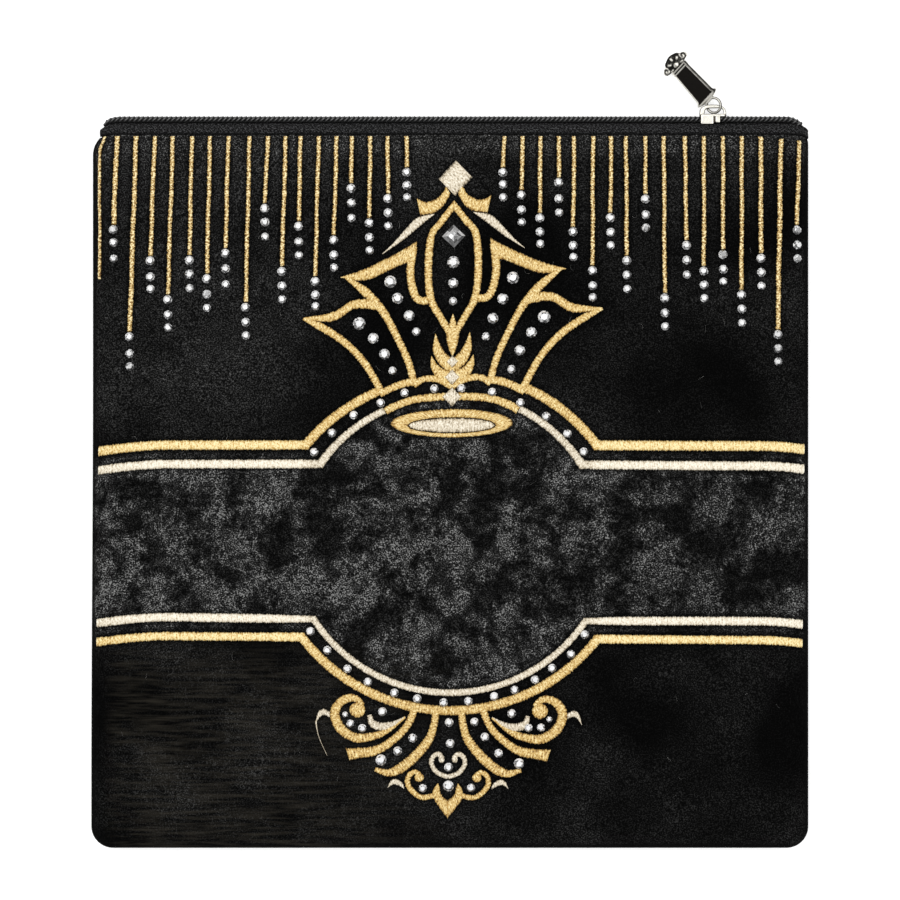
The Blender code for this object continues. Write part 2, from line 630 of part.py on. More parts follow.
def build_crown(gold, cream):
    frame = both_sides([LENS, HOOK, UPPER_BEAM, LOWER_BEAM, ARCH, OUTER_BEAM, BASE_UPPER, SCALLOP])
    frame += both_sides([BUD, UPPER_LEAF, LOWER_LEAF])
    relief("crown_frame", frame, gold)
    band = both_sides([BASE_LOWER])
    relief("crown_band_lower", band, gold, clear_of=frame)
    ring = ring_polygons()
    relief("crown_ring", ring, gold, clear_of=band)
    relief("crown_oval", [on_bag(oval(0, 32.3, 21.8, 3.9, 24).outline, 1)], cream, clear_of=ring)
    relief("crown_diamond", [diamond(156.3, 8.4, 9.0)], cream)
    for side, word in ((-1, "left"), (1, "right")):
        horn = shape_polygons(HORN, side)
        wing = shape_polygons(WING, side)
        relief(f"crown_horn_{word}", horn, gold, clear_of=[diamond(156.3, 8.4, 9.0)] + frame)
        relief(f"crown_wing_{word}", wing, cream, clear_of=horn + frame)
    for name, up, wide, high in GEMS:
        above = THREAD_HIGH + 2 * GAP
        relief(name, [diamond(up, wide, high)], cream, lift=above, high=0.7)
    return frame, band


# Double band and palmette

SIDE_STATIONS = (176.0, 174.2, 172.2, 170.2, 168.0, 135.0)    # distances out, close where the side curves


def side_run(up):
    """The straight stretch of a band in from the bag's side, with its points where the side curves."""
    return [(out, up) for out in SIDE_STATIONS]


GOLD_BOW = arc(-34.7, 92.5, 72.75, 36.6, 8)
CREAM_BOW = arc(-30.95, 78.7, 65.7, 33.8, 7)
GOLD_UPPER = Stroke(side_run(22.25) + GOLD_BOW, (5.0,))
CREAM_UPPER = Stroke(side_run(12.2) + CREAM_BOW, (5.0, 5.0, 5.0, 5.0, 3.7, 3.7, 3.7))
CREAM_LOWER = Stroke(side_run(-64.9)
                     + arc(-19.6, -81.8, 66.5, 0.0, 12) + [(-0.4, -101.4)], (4.6, 4.6, 4.6, 4.2, 3.5, 3.5))
GOLD_LOWER = Stroke(side_run(-74.5)
                    + arc(-16.95, -93.4, 73.5, 0.0, 13) + [(-0.4, -110.35)], (4.6, 4.6, 4.6, 5.0, 5.0, 5.0))

SCROLL = Stroke(smooth_line([(46.5, -108.0), (52.5, -106.6), (56.5, -112.5), (53.3, -120.3), (46.4, -124.4),
                             (38.5, -123.8), (31.4, -121.0), (21.7, -113.8)], 2), (4.0, 5.0, 5.0, 3.4, 1.6))
SCROLL_BALL = oval(45.8, -110.3, 4.0, 4.0, 10)
PALM_HOOK = Patch([(59.3, -112.6), (62.6, -109.8), (65.4, -111.8), (66.6, -117.0), (63.4, -113.4)])
CRESCENT = Stroke(smooth_line([(23.0, -116.0), (28.2, -119.0), (34.4, -119.6), (39.4, -114.4)], 3),
                  (1.6, 3.4, 3.4, 1.0))
LEAF_A = Stroke(smooth_line([(17.0, -109.5), (19.8, -116.5), (25.0, -123.0), (35.2, -130.2), (49.3, -132.0)], 2),
                (2.8, 3.2, 4.4, 6.2))
LEAF_A_END = Patch([(46.0, -129.6), (51.3, -129.4), (49.4, -135.6), (46.0, -135.0)])
LEAF_B = Stroke(smooth_line([(6.4, -109.5), (7.2, -117.0), (10.2, -125.6), (19.7, -136.3), (28.8, -141.6),
                             (36.4, -139.9)], 2), (2.8, 3.4, 4.6, 4.2, 1.2))
SMALL_SPIRAL = Stroke(smooth_line([(14.2, -143.4), (16.6, -141.4), (19.8, -143.6), (19.6, -148.6),
                                   (13.5, -153.8), (5.5, -152.6)], 2), (2.6, 2.5, 2.5, 2.6))
SPIRAL_BALL = oval(14.4, -143.9, 2.0, 2.0, 8)
LYRE_BALL = oval(3.5, -135.2, 1.6, 1.6, 8)
FLEUR = Patch([(-0.3, -155.2), (1.7, -153.7), (4.7, -147.4), (6.6, -150.2), (7.6, -153.6), (4.6, -157.6),
               (1.4, -161.8), (0, -164.2), (-0.3, -164.2)])
SPRIG = Patch([(21.9, -149.6), (23.2, -146.2), (26.3, -144.7), (28.8, -145.8), (30.3, -149.4), (26.3, -147.6)])
LYRE = Stroke(smooth_line([(2.9, -134.6), (5.4, -132.6), (8.2, -134.4), (9.0, -137.6), (5.6, -142.0),
                           (-0.3, -144.3)], 2), (2.6, 2.3, 2.3))


def build_bands(gold, cream, frame, band):
    taken = list(frame) + list(band)
    for side, word in ((-1, "left"), (1, "right")):
        relief(f"border_gold_upper_{word}", shape_polygons(GOLD_UPPER, side), gold, clear_of=taken)
        oval_ring = ring_polygons()
        relief(f"border_cream_upper_{word}", shape_polygons(CREAM_UPPER, side), cream, clear_of=taken + oval_ring)
    relief("border_cream_lower", both_sides([CREAM_LOWER]), cream)
    gold_lower = both_sides([GOLD_LOWER, LEAF_A, LEAF_A_END, LEAF_B])
    relief("border_gold_lower", gold_lower, gold)
    for side, word in ((-1, "left"), (1, "right")):
        scroll = [p for shape in (SCROLL, SCROLL_BALL) for p in shape_polygons(shape, side)]
        relief(f"palmette_scroll_{word}", scroll, gold, clear_of=gold_lower)
        hook = shape_polygons(PALM_HOOK, side)
        relief(f"palmette_hook_{word}", hook, cream, clear_of=scroll + gold_lower)
        crescent = shape_polygons(CRESCENT, side)
        relief(f"palmette_crescent_{word}", crescent, cream, clear_of=scroll + gold_lower)
        relief(f"palmette_sprig_{word}", shape_polygons(SPRIG, side), cream, clear_of=gold_lower)
    fleur = both_sides([SMALL_SPIRAL, SPIRAL_BALL, FLEUR])
    relief("palmette_fleur", fleur, gold, clear_of=gold_lower)
    relief("palmette_lyre", both_sides([LYRE, LYRE_BALL]), cream, clear_of=gold_lower + fleur)


def build_stone(name, x, y, across, finish, corners=STONE_FACETS, turn=0.0):
    """A cut stone: straight girdle, crown facets and a table, its flat foot just above the velvet."""
    rows = ((across / 2 * 0.94, 0.0), (across / 2, STONE_GIRDLE), (across / 2 * STONE_TABLE, STONE_HIGH))
    base = float(front_height(np.array(x), np.array(y))) + GAP
    points, faces = [], []
    for radius, up in rows:
        for k in range(corners):
            a = turn + 2 * math.pi * (k + 0.5) / corners
            points.append((x + radius * math.cos(a), y + radius * math.sin(a), base + up))
    faces.append(list(range(corners))[::-1])
    for row in range(len(rows) - 1):
        for k in range(corners):
            a, b = row * corners + k, row * corners + (k + 1) % corners
            faces.append([a, b, b + corners, a + corners])
    faces.append([(len(rows) - 1) * corners + k for k in range(corners)])
    add_object(name, mesh_from(points, faces), finish)


def build_stones(crystal):
    x, y = on_bag([(0, SQUARE_STONE_UP)], 1)[0]
    build_stone("stone_square", x, y, SQUARE_STONE_SIDE * math.sqrt(2), crystal, corners=4, turn=-math.pi / 4)
    for stone in LENS_STONES:
        x, y = on_bag([(stone.out, stone.up)], 1)[0]
        build_stone(stone.name, x, y, stone.across, crystal)
    for side, word in ((-1, "left"), (1, "right")):
        for k, stone in enumerate(SIDE_STONES):
            x, y = (stone.left_x, stone.left_y) if side < 0 else (stone.right_x, stone.right_y)
            build_stone(f"{stone.name}_{word}_{k % STONES_PER_ROW + 1}", x, y, stone.across, crystal)


def main():
    clear_scene()
    velvet = material("velvet", (0.012, 0.012, 0.013), 0.9)
    tape = material("zip_tape", (0.02, 0.02, 0.024), 0.8)
    nylon = material("zip_coil", (0.01, 0.01, 0.012), 0.4)
    metal = material("metal", (0.75, 0.72, 0.64), 0.25, 1.0)
    gold = material("gold_thread", (0.6, 0.38, 0.14), 0.4)
    cream = material("cream_thread", (0.78, 0.68, 0.5), 0.45)
    crystal = material("crystal", (0.85, 0.88, 0.92), 0.05, 0.9)
    build_panels(velvet)
    build_tapes(tape)
    build_coils(nylon)
    build_slider(metal)
    build_pull(metal)
    build_stripes(gold)
    frame, band = build_crown(gold, cream)
    build_bands(gold, cream, frame, band)
    build_stones(crystal)


main()
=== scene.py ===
"""The looks of a black velvet bag with gold and cream embroidery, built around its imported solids.

Distances below are in millimetres and are turned to metres where a mesh is made. The bag lies on its back,
with +X to the right, +Y towards the zip and +Z up out of its front.
"""

import math

import bpy
import numpy as np
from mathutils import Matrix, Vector


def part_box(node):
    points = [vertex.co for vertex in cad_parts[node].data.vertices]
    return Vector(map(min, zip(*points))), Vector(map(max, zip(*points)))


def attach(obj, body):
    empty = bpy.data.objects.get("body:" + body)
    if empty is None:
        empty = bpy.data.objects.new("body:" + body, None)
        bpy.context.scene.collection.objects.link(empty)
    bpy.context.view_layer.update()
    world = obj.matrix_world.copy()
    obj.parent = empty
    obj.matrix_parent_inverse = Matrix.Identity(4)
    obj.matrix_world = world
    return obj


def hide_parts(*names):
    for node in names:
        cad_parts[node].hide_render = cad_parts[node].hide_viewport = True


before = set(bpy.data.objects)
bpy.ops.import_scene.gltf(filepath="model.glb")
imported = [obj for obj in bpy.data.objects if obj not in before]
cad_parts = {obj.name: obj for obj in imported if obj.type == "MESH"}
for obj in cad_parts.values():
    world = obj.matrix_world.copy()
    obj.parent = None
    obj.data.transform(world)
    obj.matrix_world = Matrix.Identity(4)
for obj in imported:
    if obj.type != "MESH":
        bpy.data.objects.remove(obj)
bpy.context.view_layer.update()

MM = 0.001
CHANCE = np.random.default_rng(613)

# The filled bag, as in the part: a pillow with rounded sides
HALF_WIDTH = 179.5
TOP, BOTTOM = 184.0, -180.0
EDGE = 11.0
BACK_EDGE = 10.0
BACK_RIM_Z = 10.0
FRONT_RIM_Z = 10.3
SWELL = 3.5
WALL = 2.0
MIDDLE_Y = (TOP + BOTTOM) / 2
HALF_DEPTH = (TOP - BOTTOM) / 2
FLAT_X = HALF_WIDTH - EDGE
FLAT_Y = HALF_DEPTH - EDGE
QUARTER = math.pi / 2

# The zip
SEAM_Y = 177.8
SEAM_TURN = math.asin((SEAM_Y - MIDDLE_Y - FLAT_Y) / EDGE)
TAPE_DROP, TAPE_THICK = 0.6, 1.0
TAPE_END_TURN = math.radians(84)
TAPE_LEFT_TURN = math.asin(-6.6 / EDGE)
TAPE_RIGHT_TURN = math.asin(10.8 / EDGE)
ZIP_Z = (FRONT_RIM_Z + BACK_RIM_Z) / 2
COIL_OUT = 2.3
COIL_WIDE, COIL_HIGH = 1.5, 1.2
COIL_Z = 0.15 + COIL_HIGH
COIL_PITCH = 2.35
STEPS_PER_TURN = 14
COIL_STRAND = 0.55
COIL_SLANT = 0.75
COIL_LEFT_TURN, COIL_RIGHT_TURN = math.radians(-23), math.radians(47)
SLIDER_LEFT = 125.9
SEWING_Z = 1.45
PARTING = 0.95            # how much further apart the slider holds the teeth

# The pull
BRIDGE_Y = 192.5
HINGE = np.array([132.8, BRIDGE_Y, ZIP_Z])
PULL_HEADING = math.radians(131.5)
PULL_DROOP = math.radians(11.2)
PULL_ROLL = math.radians(26)
RING_MEAN, RING_BAR, RING_AHEAD, RING_ASIDE = 3.8, 0.62, 0.8, -0.2
TAG_END, TAG_HALF_END = 27.2, 4.4
TAG_THICK = 2.0
TAG_COLUMNS = 45
LOBE_REACH = 33.9

# Stitches
STITCH = 0.5              # from one stitch to the next along a satin line
SAMPLES_PER_STITCH = 3
THREAD_LOW = 0.05         # how far a line's edge lies above the velvet
ACROSS = np.array([-1, -0.84, -0.5, 0, 0.5, 0.84, 1])


def smooth_step(value, start, end):
    """Nothing up to start and one from end on, with a smooth S between: 3 s squared less 2 s cubed."""
    share = np.clip((np.asarray(value, float) - start) / (end - start), 0, 1)
    return share * share * (3 - 2 * share)


def full_turn(count, ahead=0.0):
    """Even angles once round, the first one ahead by that share of a step."""
    return 2 * np.pi * (np.arange(count) + ahead) / count


# Meshes and finishes

def piece(name, points, faces, finish, slot, replaces=(), body="bag", uv=None, marks=None, smooth=True,
          kind="POINT"):
    """A mesh from points in mm and arrays of faces.

    uv is a pair for each point. marks gives, under each name, a number for each point or face, as kind says.
    """
    mesh = bpy.data.meshes.new(name)
    polygons = [face for group in faces for face in group.tolist()]
    mesh.from_pydata((np.asarray(points, float) * MM).tolist(), [], polygons)
    mesh.update()
    if uv is not None:
        corners = np.empty(len(mesh.loops), int)
        mesh.loops.foreach_get("vertex_index", corners)
        layer = mesh.uv_layers.new(name="cloth")
        layer.data.foreach_set("uv", np.asarray(uv, np.float32)[corners].ravel())
    for word, values in (marks or {}).items():
        mark = mesh.attributes.new(word, "FLOAT", kind)
        mark.data.foreach_set("value", np.asarray(values, np.float32).ravel())
    if smooth:
        mesh.shade_smooth()
    made = bpy.data.objects.new(name, mesh)
    bpy.context.scene.collection.objects.link(made)
    mesh.materials.append(finish)
    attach(made, body)
    if replaces:
        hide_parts(*replaces)
    return made


def grid_faces(rows, columns, wrap_rows=False, wrap_columns=False):
    """Quads of a grid of points numbered row by row; a wrapped direction joins its last line to its first."""
    r = np.arange(rows if wrap_rows else rows - 1)[:, None]
    c = np.arange(columns if wrap_columns else columns - 1)[None, :]
    here = r * columns + c
    right = r * columns + (c + 1) % columns
    up = ((r + 1) % rows) * columns + c
    both = ((r + 1) % rows) * columns + (c + 1) % columns
    return np.stack([here, right, both, up], axis=-1).reshape(-1, 4)


def capped_faces(rows, columns, closed=False):
    """Faces of a grid whose rows run round, with its first and last row capped, or joined if closed."""
    faces = [grid_faces(rows, columns, wrap_rows=closed, wrap_columns=True)]
    if not closed:
        faces += [np.arange(columns)[None, ::-1], (np.arange(columns) + (rows - 1) * columns)[None, :]]
    return faces


def joined(parts):
    """Several (points, faces, extra columns) as one: faces are renumbered and the columns are stacked."""
    points, faces, extras, first = [], [], [], 0
    for part_points, part_faces, extra in parts:
        points.append(part_points)
        faces += [f + first for f in part_faces]
        extras.append(extra)
        first += len(part_points)
    return np.concatenate(points), faces, np.concatenate(extras)


def tube(path, profile, closed=False, lean=(0, 0, 1)):
    """A profile of (side, up) pairs carried along a path.

    Side is square to the path and to lean, which is straight up as a rule, and up is square to side and path.
    """
    path = np.asarray(path, float)
    ahead = np.roll(path, -1, 0) - np.roll(path, 1, 0)
    if not closed:
        ahead[0], ahead[-1] = path[1] - path[0], path[-1] - path[-2]
    ahead /= np.linalg.norm(ahead, axis=1)[:, None]
    side = np.cross(ahead, np.asarray(lean, float))
    side /= np.linalg.norm(side, axis=1)[:, None]
    up = np.cross(side, ahead)
    profile = np.asarray(profile, float)
    if profile.ndim == 2:
        profile = np.broadcast_to(profile, (len(path), *profile.shape))
    points = path[:, None] + side[:, None] * profile[..., :1] + up[:, None] * profile[..., 1:]
    rows, columns = points.shape[:2]
    return points.reshape(-1, 3), [group[:, ::-1] for group in capped_faces(rows, columns, closed)]


def round_profile(half_wide, half_high, sides, power=2.0):
    """A superellipse: power 2 is round, and larger powers are squarer."""
    turn = full_turn(sides)
    c, s = np.cos(turn), np.sin(turn)
    return np.stack([half_wide * np.sign(c) * np.abs(c) ** (2 / power),
                     half_high * np.sign(s) * np.abs(s) ** (2 / power)], axis=-1)


def wall_shell(outer, inner, back=False):
    """A closed sheet between two grids of points of one shape, joined round its rim."""
    rows, columns = outer.shape[:2]
    count = rows * columns
    top = grid_faces(rows, columns)
    number = np.arange(count).reshape(rows, columns)
    rim = np.concatenate([number[0, :-1], number[:-1, -1], number[-1, :0:-1], number[:0:-1, 0]])
    after = np.roll(rim, -1)
    faces = [top, top[:, ::-1] + count, np.stack([after, rim, rim + count, after + count], axis=-1)]
    if back:
        faces = [f[:, ::-1] for f in faces]
    return np.concatenate([outer.reshape(-1, 3), inner.reshape(-1, 3)]), faces


class Nodes:
    """A node tree being put together: every node is made by name, and linked as it is made."""

    def __init__(self, tree):
        self.tree = tree

    def node(self, kind, inputs=None, **settings):
        made = self.tree.nodes.new(kind)
        for word, value in settings.items():
            setattr(made, word, value)
        for word, value in (inputs or {}).items():
            self.feed(made.inputs[word], value)
        return made

    def feed(self, socket, value):
        """Link an output to a socket, or set the socket's own value."""
        if isinstance(value, bpy.types.NodeSocket):
            self.tree.links.new(value, socket)
        elif socket.type == "RGBA":
            socket.default_value = (*value[:3], 1.0)
        else:
            socket.default_value = value

    def stretch(self, vector, scale):
        """A place multiplied by a scale along each axis."""
        return self.node("ShaderNodeMapping", {"Vector": vector, "Scale": scale}).outputs["Vector"]

    def sums(self, operation, a, b=0.0, c=0.0):
        """The result of a Math node's operation."""
        made = self.node("ShaderNodeMath", operation=operation)
        for socket, value in zip(made.inputs, (a, b, c)):
            self.feed(socket, value)
        return made.outputs[0]

    def spread(self, value, low, high, to_low=0.0, to_high=1.0):
        """A value taken from the range low to high to another range, and kept inside it."""
        return self.node("ShaderNodeMapRange", {"Value": value, "From Min": low, "From Max": high,
                                                "To Min": to_low, "To Max": to_high}).outputs[0]

    def mixed(self, share, first, second):
        """The first colour where the share is nothing and the second where it is one."""
        made = self.node("ShaderNodeMix", data_type="RGBA")
        for number, value in ((0, share), (6, first), (7, second)):
            self.feed(made.inputs[number], value)
        return made.outputs[2]

    def use(self, effect, **values):
        """A shared effect placed here with its own values."""
        made = self.node("ShaderNodeGroup", node_tree=EFFECTS[effect].tree)
        for word, value in values.items():
            self.feed(made.inputs[word], value)
        return made.outputs

    def grain(self, place, scale, low, high, detail=2.0, roughness=0.6):
        """The shared grain effect: noise, spread from low and high to nothing and one."""
        return self.use("grain", Place=place, Scale=scale, Low=low, High=high, Detail=detail,
                        Roughness=roughness)["Grain"]


class Effect(Nodes):
    """A shader node group; takes and gives name its sockets, each with its kind."""

    def __init__(self, name, takes, gives):
        super().__init__(bpy.data.node_groups.new(name, "ShaderNodeTree"))
        for way, sockets in (("INPUT", takes), ("OUTPUT", gives)):
            for word, kind in sockets.items():
                self.tree.interface.new_socket(word, in_out=way, socket_type="NodeSocket" + kind)
        self.taken = self.node("NodeGroupInput").outputs
        self.given = self.node("NodeGroupOutput").inputs

    def give(self, **values):
        for word, value in values.items():
            self.feed(self.given[word], value)


class Recipe(Nodes):
    """A material, whose constants are set on its own shader's sockets."""

    def __init__(self, name, **sockets):
        self.finish = bpy.data.materials.new(name)
        self.finish.use_nodes = True
        super().__init__(self.finish.node_tree)
        self.shader = self.tree.nodes["Principled BSDF"]
        for word, value in sockets.items():
            self.shader.inputs[word.replace("_", " ")].default_value = value

    def place(self, kind="Object"):
        return self.node("ShaderNodeTexCoord").outputs[kind]

    def mark(self, word):
        """What the piece holds under that name for each of its points or faces."""
        return self.node("ShaderNodeAttribute", attribute_name=word).outputs["Fac"]

    def bump(self, height, strength, distance):
        """Small relief by a height; the distance is in mm."""
        values = {"Height": height, "Strength": strength, "Distance": distance * MM}
        made = self.node("ShaderNodeBump", values)
        self.tree.links.new(made.outputs["Normal"], self.shader.inputs["Normal"])

    def colour(self, value):
        self.feed(self.shader.inputs["Base Color"], value)

    def tones(self, value, dark, middle, bright):
        self.colour(self.use("three_tones", Value=value, Dark=dark, Middle=middle, Bright=bright)["Colour"])

    def rough(self, value):
        self.feed(self.shader.inputs["Roughness"], value)


EFFECTS = {}
VELVET_MARKS = ("paler", "blotchy", "pressed_shade", "streak")


def build_effects():
    """The effects that several materials share, each built once as a node group."""
    e = EFFECTS["grain"] = Effect("grain", dict(Place="Vector", Scale="Float", Low="Float", High="Float",
                                                Detail="Float", Roughness="Float"), dict(Grain="Float"))
    noise = e.node("ShaderNodeTexNoise", {"Vector": e.taken["Place"], "Scale": e.taken["Scale"],
                                          "Detail": e.taken["Detail"], "Roughness": e.taken["Roughness"]})
    e.give(Grain=e.spread(noise.outputs["Fac"], e.taken["Low"], e.taken["High"]))

    e = EFFECTS["three_tones"] = Effect("three_tones", dict(Value="Float", Dark="Color", Middle="Color",
                                                            Bright="Color"), dict(Colour="Color"))
    lower, upper = e.spread(e.taken["Value"], 0.0, 0.5), e.spread(e.taken["Value"], 0.5, 1.0)
    e.give(Colour=e.mixed(upper, e.mixed(lower, e.taken["Dark"], e.taken["Middle"]), e.taken["Bright"]))

    # Soft blotches of two sizes, lit by fine tips, less where the pile is held down by the stitches and where
    # painted shade outlines them and darkens the rolled sides; and nap in long streaks
    takes = dict(Place="Vector", Mottle="Float", Paler="Float", Blotchy="Float", Pressed_shade="Float",
                 Streak="Float")
    gives = dict(Value="Float", Nap="Float", Height="Float")
    e = EFFECTS["crushed_pile"] = Effect("crushed_pile", takes, gives)
    place = e.taken["Place"]
    blotch = e.grain(place, e.taken["Mottle"], 0.42, 0.60, 4.0, 0.58)
    small = e.grain(place, e.sums("MULTIPLY", e.taken["Mottle"], 4.2), 0.38, 0.64, 3.0, 0.62)
    large_part = e.sums("MULTIPLY_ADD", blotch, 0.85, 0.12)
    blotched = e.sums("MULTIPLY", large_part, e.sums("MULTIPLY_ADD", small, 0.8, 0.28))
    cloud = e.sums("MULTIPLY_ADD", e.sums("SUBTRACT", blotched, 0.36), e.taken["Blotchy"], 0.36)
    tips = e.sums("POWER", e.grain(place, 1500.0, 0.40, 0.66, 1.0, 0.75), 2.4)
    tipped = e.sums("MULTIPLY", cloud, e.sums("MULTIPLY_ADD", tips, 2.9, 0.09))
    lit = e.sums("MULTIPLY", tipped, e.taken["Paler"])
    lines = e.grain(e.stretch(place, (45.0, 480.0, 1.0)), 1.0, 0.42, 0.78, 2.0, 0.65)
    e.give(Value=e.sums("MULTIPLY", lit, e.sums("SUBTRACT", 1.0, e.taken["Pressed_shade"])),
           Nap=e.sums("MULTIPLY", lines, e.taken["Streak"]), Height=e.sums("MULTIPLY_ADD", tips, 0.4, cloud))

    # Fine streaks along the stitches and flecks of light, over each stitch's own tone, which also holds
    # painted shade and painted sheen; lengths are in mm
    e = EFFECTS["satin_thread"] = Effect("satin_thread", dict(Cloth="Vector", Tone="Float", Fleck="Float"),
                                         dict(Value="Float", Height="Float"))
    streak = e.grain(e.stretch(e.taken["Cloth"], (1.35, 0.45, 1.0)), 1.0, 0.36, 0.64, 2.0, 0.65)
    fleck = e.grain(e.stretch(e.taken["Cloth"], (1.1, 1.0, 1.0)), 1.0, 0.38, 0.62, 2.0, 0.7)
    mix = e.sums("MULTIPLY_ADD", e.sums("SUBTRACT", fleck, streak), e.taken["Fleck"], streak)
    e.give(Value=e.sums("MULTIPLY_ADD", mix, 1.1, e.sums("MULTIPLY_ADD", e.taken["Tone"], 0.6, -0.33)),
           Height=e.sums("ADD", mix, e.taken["Tone"]))

    # Plating: bright where it stands up, and dark where the mark named low is one, which is patina in hollows
    # and painted shade on sides and edges; clouded by handling
    e = EFFECTS["tarnish_and_shade"] = Effect("tarnish_and_shade", dict(Place="Vector", Low="Float", Bright="Color", Dark="Color",
                                                    Polish="Float"),
                                    dict(Colour="Color", Roughness="Float", Height="Float"))
    cloud = e.grain(e.taken["Place"], 420.0, 0.35, 0.7, 4.0)
    patina_and_shade = e.sums("MULTIPLY", e.taken["Low"], e.sums("MULTIPLY_ADD", cloud, 0.3, 0.85))
    e.give(Colour=e.mixed(e.spread(patina_and_shade, 0.05, 0.85), e.taken["Bright"], e.taken["Dark"]),
           Roughness=e.sums("ADD", e.sums("MULTIPLY_ADD", cloud, 0.14, e.taken["Polish"]),
                            e.sums("MULTIPLY", e.taken["Low"], 0.25)), Height=cloud)


def grey(level):
    """The same tone in all three colours."""
    return (level,) * 3


def velvet_finish(name, deep, middle, pale, nap, mottle):
    """Crushed velvet, with a little of the brownish nap where the mark named streak asks for it."""
    r = Recipe(name, Roughness=0.95, Specular_IOR_Level=0.015)
    marks = {word.capitalize(): r.mark(word) for word in VELVET_MARKS}
    pile = r.use("crushed_pile", Place=r.place(), Mottle=mottle, **marks)
    shades = r.use("three_tones", Value=pile["Value"], Dark=deep, Middle=middle, Bright=pale)["Colour"]
    r.colour(r.mixed(pile["Nap"], shades, nap))
    r.bump(pile["Height"], 0.3, 0.5)
    return r.finish


def thread_finish(name, dark, middle, bright, roughness, fleck, metallic=0.0):
    """Satin thread: its stitches' tones and fine streaks, smoother where it is bright."""
    r = Recipe(name, Metallic=metallic, Specular_IOR_Level=0.4, Sheen_Weight=0.05, Sheen_Roughness=0.3)
    satin = r.use("satin_thread", Cloth=r.place("UV"), Tone=r.mark("tone"), Fleck=fleck)
    r.tones(satin["Value"], dark, middle, bright)
    r.rough(r.spread(satin["Value"], 0.0, 1.0, roughness + 0.12, roughness - 0.08))
    r.bump(satin["Height"], 0.35, 0.1)
    return r.finish


def tape_finish():
    """Close twill: fine slanted ribs with a speckled thread, darkened at the seam and by the teeth with
    painted shade.
    """
    r = Recipe("zip_tape_cloth", Roughness=0.95, Specular_IOR_Level=0.015)
    cloth = r.place("UV")
    wave = {"Vector": r.stretch(cloth, (1.0, 0.55, 1.0)), "Scale": 0.5, "Distortion": 0.6, "Detail": 1.0}
    ribs = r.node("ShaderNodeTexWave", wave, wave_type="BANDS", bands_direction="DIAGONAL").outputs["Fac"]
    speck = r.sums("POWER", r.grain(cloth, 0.95, 0.38, 0.63, 2.0, 0.75), 1.5)
    twill = r.sums("MULTIPLY_ADD", ribs, 0.25, r.sums("MULTIPLY", speck, 0.95))
    mix = r.sums("MULTIPLY", twill, r.mark("open"))
    r.tones(mix, grey(0.0018), (0.0126, 0.0126, 0.0128), (0.069, 0.069, 0.071))
    r.bump(mix, 0.5, 0.15)
    return r.finish


def nylon_finish():
    """Black moulded nylon, pale where the strands stand up, which is a painted highlight, with faint scuffs.
    """
    r = Recipe("zip_coil_nylon", Specular_IOR_Level=0.5, Coat_Weight=0.1)
    scuff = r.grain(r.place(), 900.0, 0.35, 0.7, 3.0)
    crest_highlight = r.sums("MULTIPLY_ADD", scuff, 0.2, r.mark("crest_highlight"))
    r.tones(crest_highlight, grey(0.0025), grey(0.012), grey(0.11))
    r.rough(r.spread(scuff, 0.0, 1.0, 0.28, 0.45))
    r.bump(scuff, 0.2, 0.05)
    return r.finish


def matt_thread_finish():
    """Black polyester sewing thread, dull and slightly fuzzy."""
    r = Recipe("black_sewing_thread", Roughness=0.85, Specular_IOR_Level=0.1)
    fuzz = r.grain(r.place(), 1600.0, 0.3, 0.7, 3.0)
    r.tones(fuzz, grey(0.003), grey(0.009), grey(0.02))
    r.bump(fuzz, 0.4, 0.08)
    return r.finish


def metal_finish(name, bright, dark, polish):
    """A plated casting, dark where the mark named low is one: patina in its hollows, painted shade on its
    sides and edges.
    """
    r = Recipe(name, Metallic=1.0)
    plating = r.use("tarnish_and_shade", Place=r.place(), Low=r.mark("low"), Bright=bright, Dark=dark, Polish=polish)
    r.colour(plating["Colour"])
    r.rough(plating["Roughness"])
    r.bump(plating["Height"], 0.12, 0.06)
    return r.finish


def crystal_finish():
    """Foil-backed cut glass: every facet has its own painted reflection, a brightness held in the mark named
    facet.
    """
    r = Recipe("cut_crystal", Metallic=0.12, Coat_Weight=0.5, Coat_Roughness=0.03)
    facet = r.mark("facet")
    speck = r.grain(r.place(), 1300.0, 0.3, 0.7, 1.0)
    lit = r.sums("MULTIPLY_ADD", speck, 0.16, r.sums("SUBTRACT", facet, 0.08))
    r.tones(lit, (0.008, 0.008, 0.009), grey(0.30), grey(1.0))
    r.rough(r.spread(facet, 0.0, 1.0, 0.08, 0.2))
    return r.finish


def lint_finish():
    """Pale grey fibre with a soft grain."""
    r = Recipe("lint_fibre", Roughness=0.9, Specular_IOR_Level=0.1)
    r.tones(r.grain(r.place(), 200.0, 0.3, 0.7), grey(0.05), (0.16, 0.16, 0.155), (0.4, 0.39, 0.37))
    return r.finish


def floor_finish():
    """White paper on a light table, so that it has hardly a shadow, with the faintest grain."""
    r = Recipe("white_floor", Roughness=0.9, Specular_IOR_Level=0.1, Emission_Strength=0.4)
    r.tones(r.grain(r.place(), 300.0, 0.3, 0.7), grey(0.93), grey(0.94), grey(0.95))
    r.shader.inputs["Emission Color"].default_value = (1.0, 1.0, 1.0, 1.0)
    return r.finish


# The velvet's surface

CELL = 1.0
FIELD_LOW = np.array([-190.0, -190.0])
FIELD_SHAPE = (391, 381)      # cells along Y and X


def blurred(field, reach):
    """Gaussian blur of the field, along X and then along Y, with the given reach in mm."""
    steps = np.arange(-int(3 * reach / CELL), int(3 * reach / CELL) + 1)
    weights = np.exp(-(steps * CELL) ** 2 / (2 * reach ** 2))
    weights /= weights.sum()
    for axis in (0, 1):
        field = sum(weight * np.roll(field, step, axis) for step, weight in zip(steps, weights))
    return field


def soft_waves(reach):
    """Random hills and hollows of about that reach, with a spread of one."""
    field = blurred(CHANCE.standard_normal(FIELD_SHAPE), reach)
    return field / field.std()


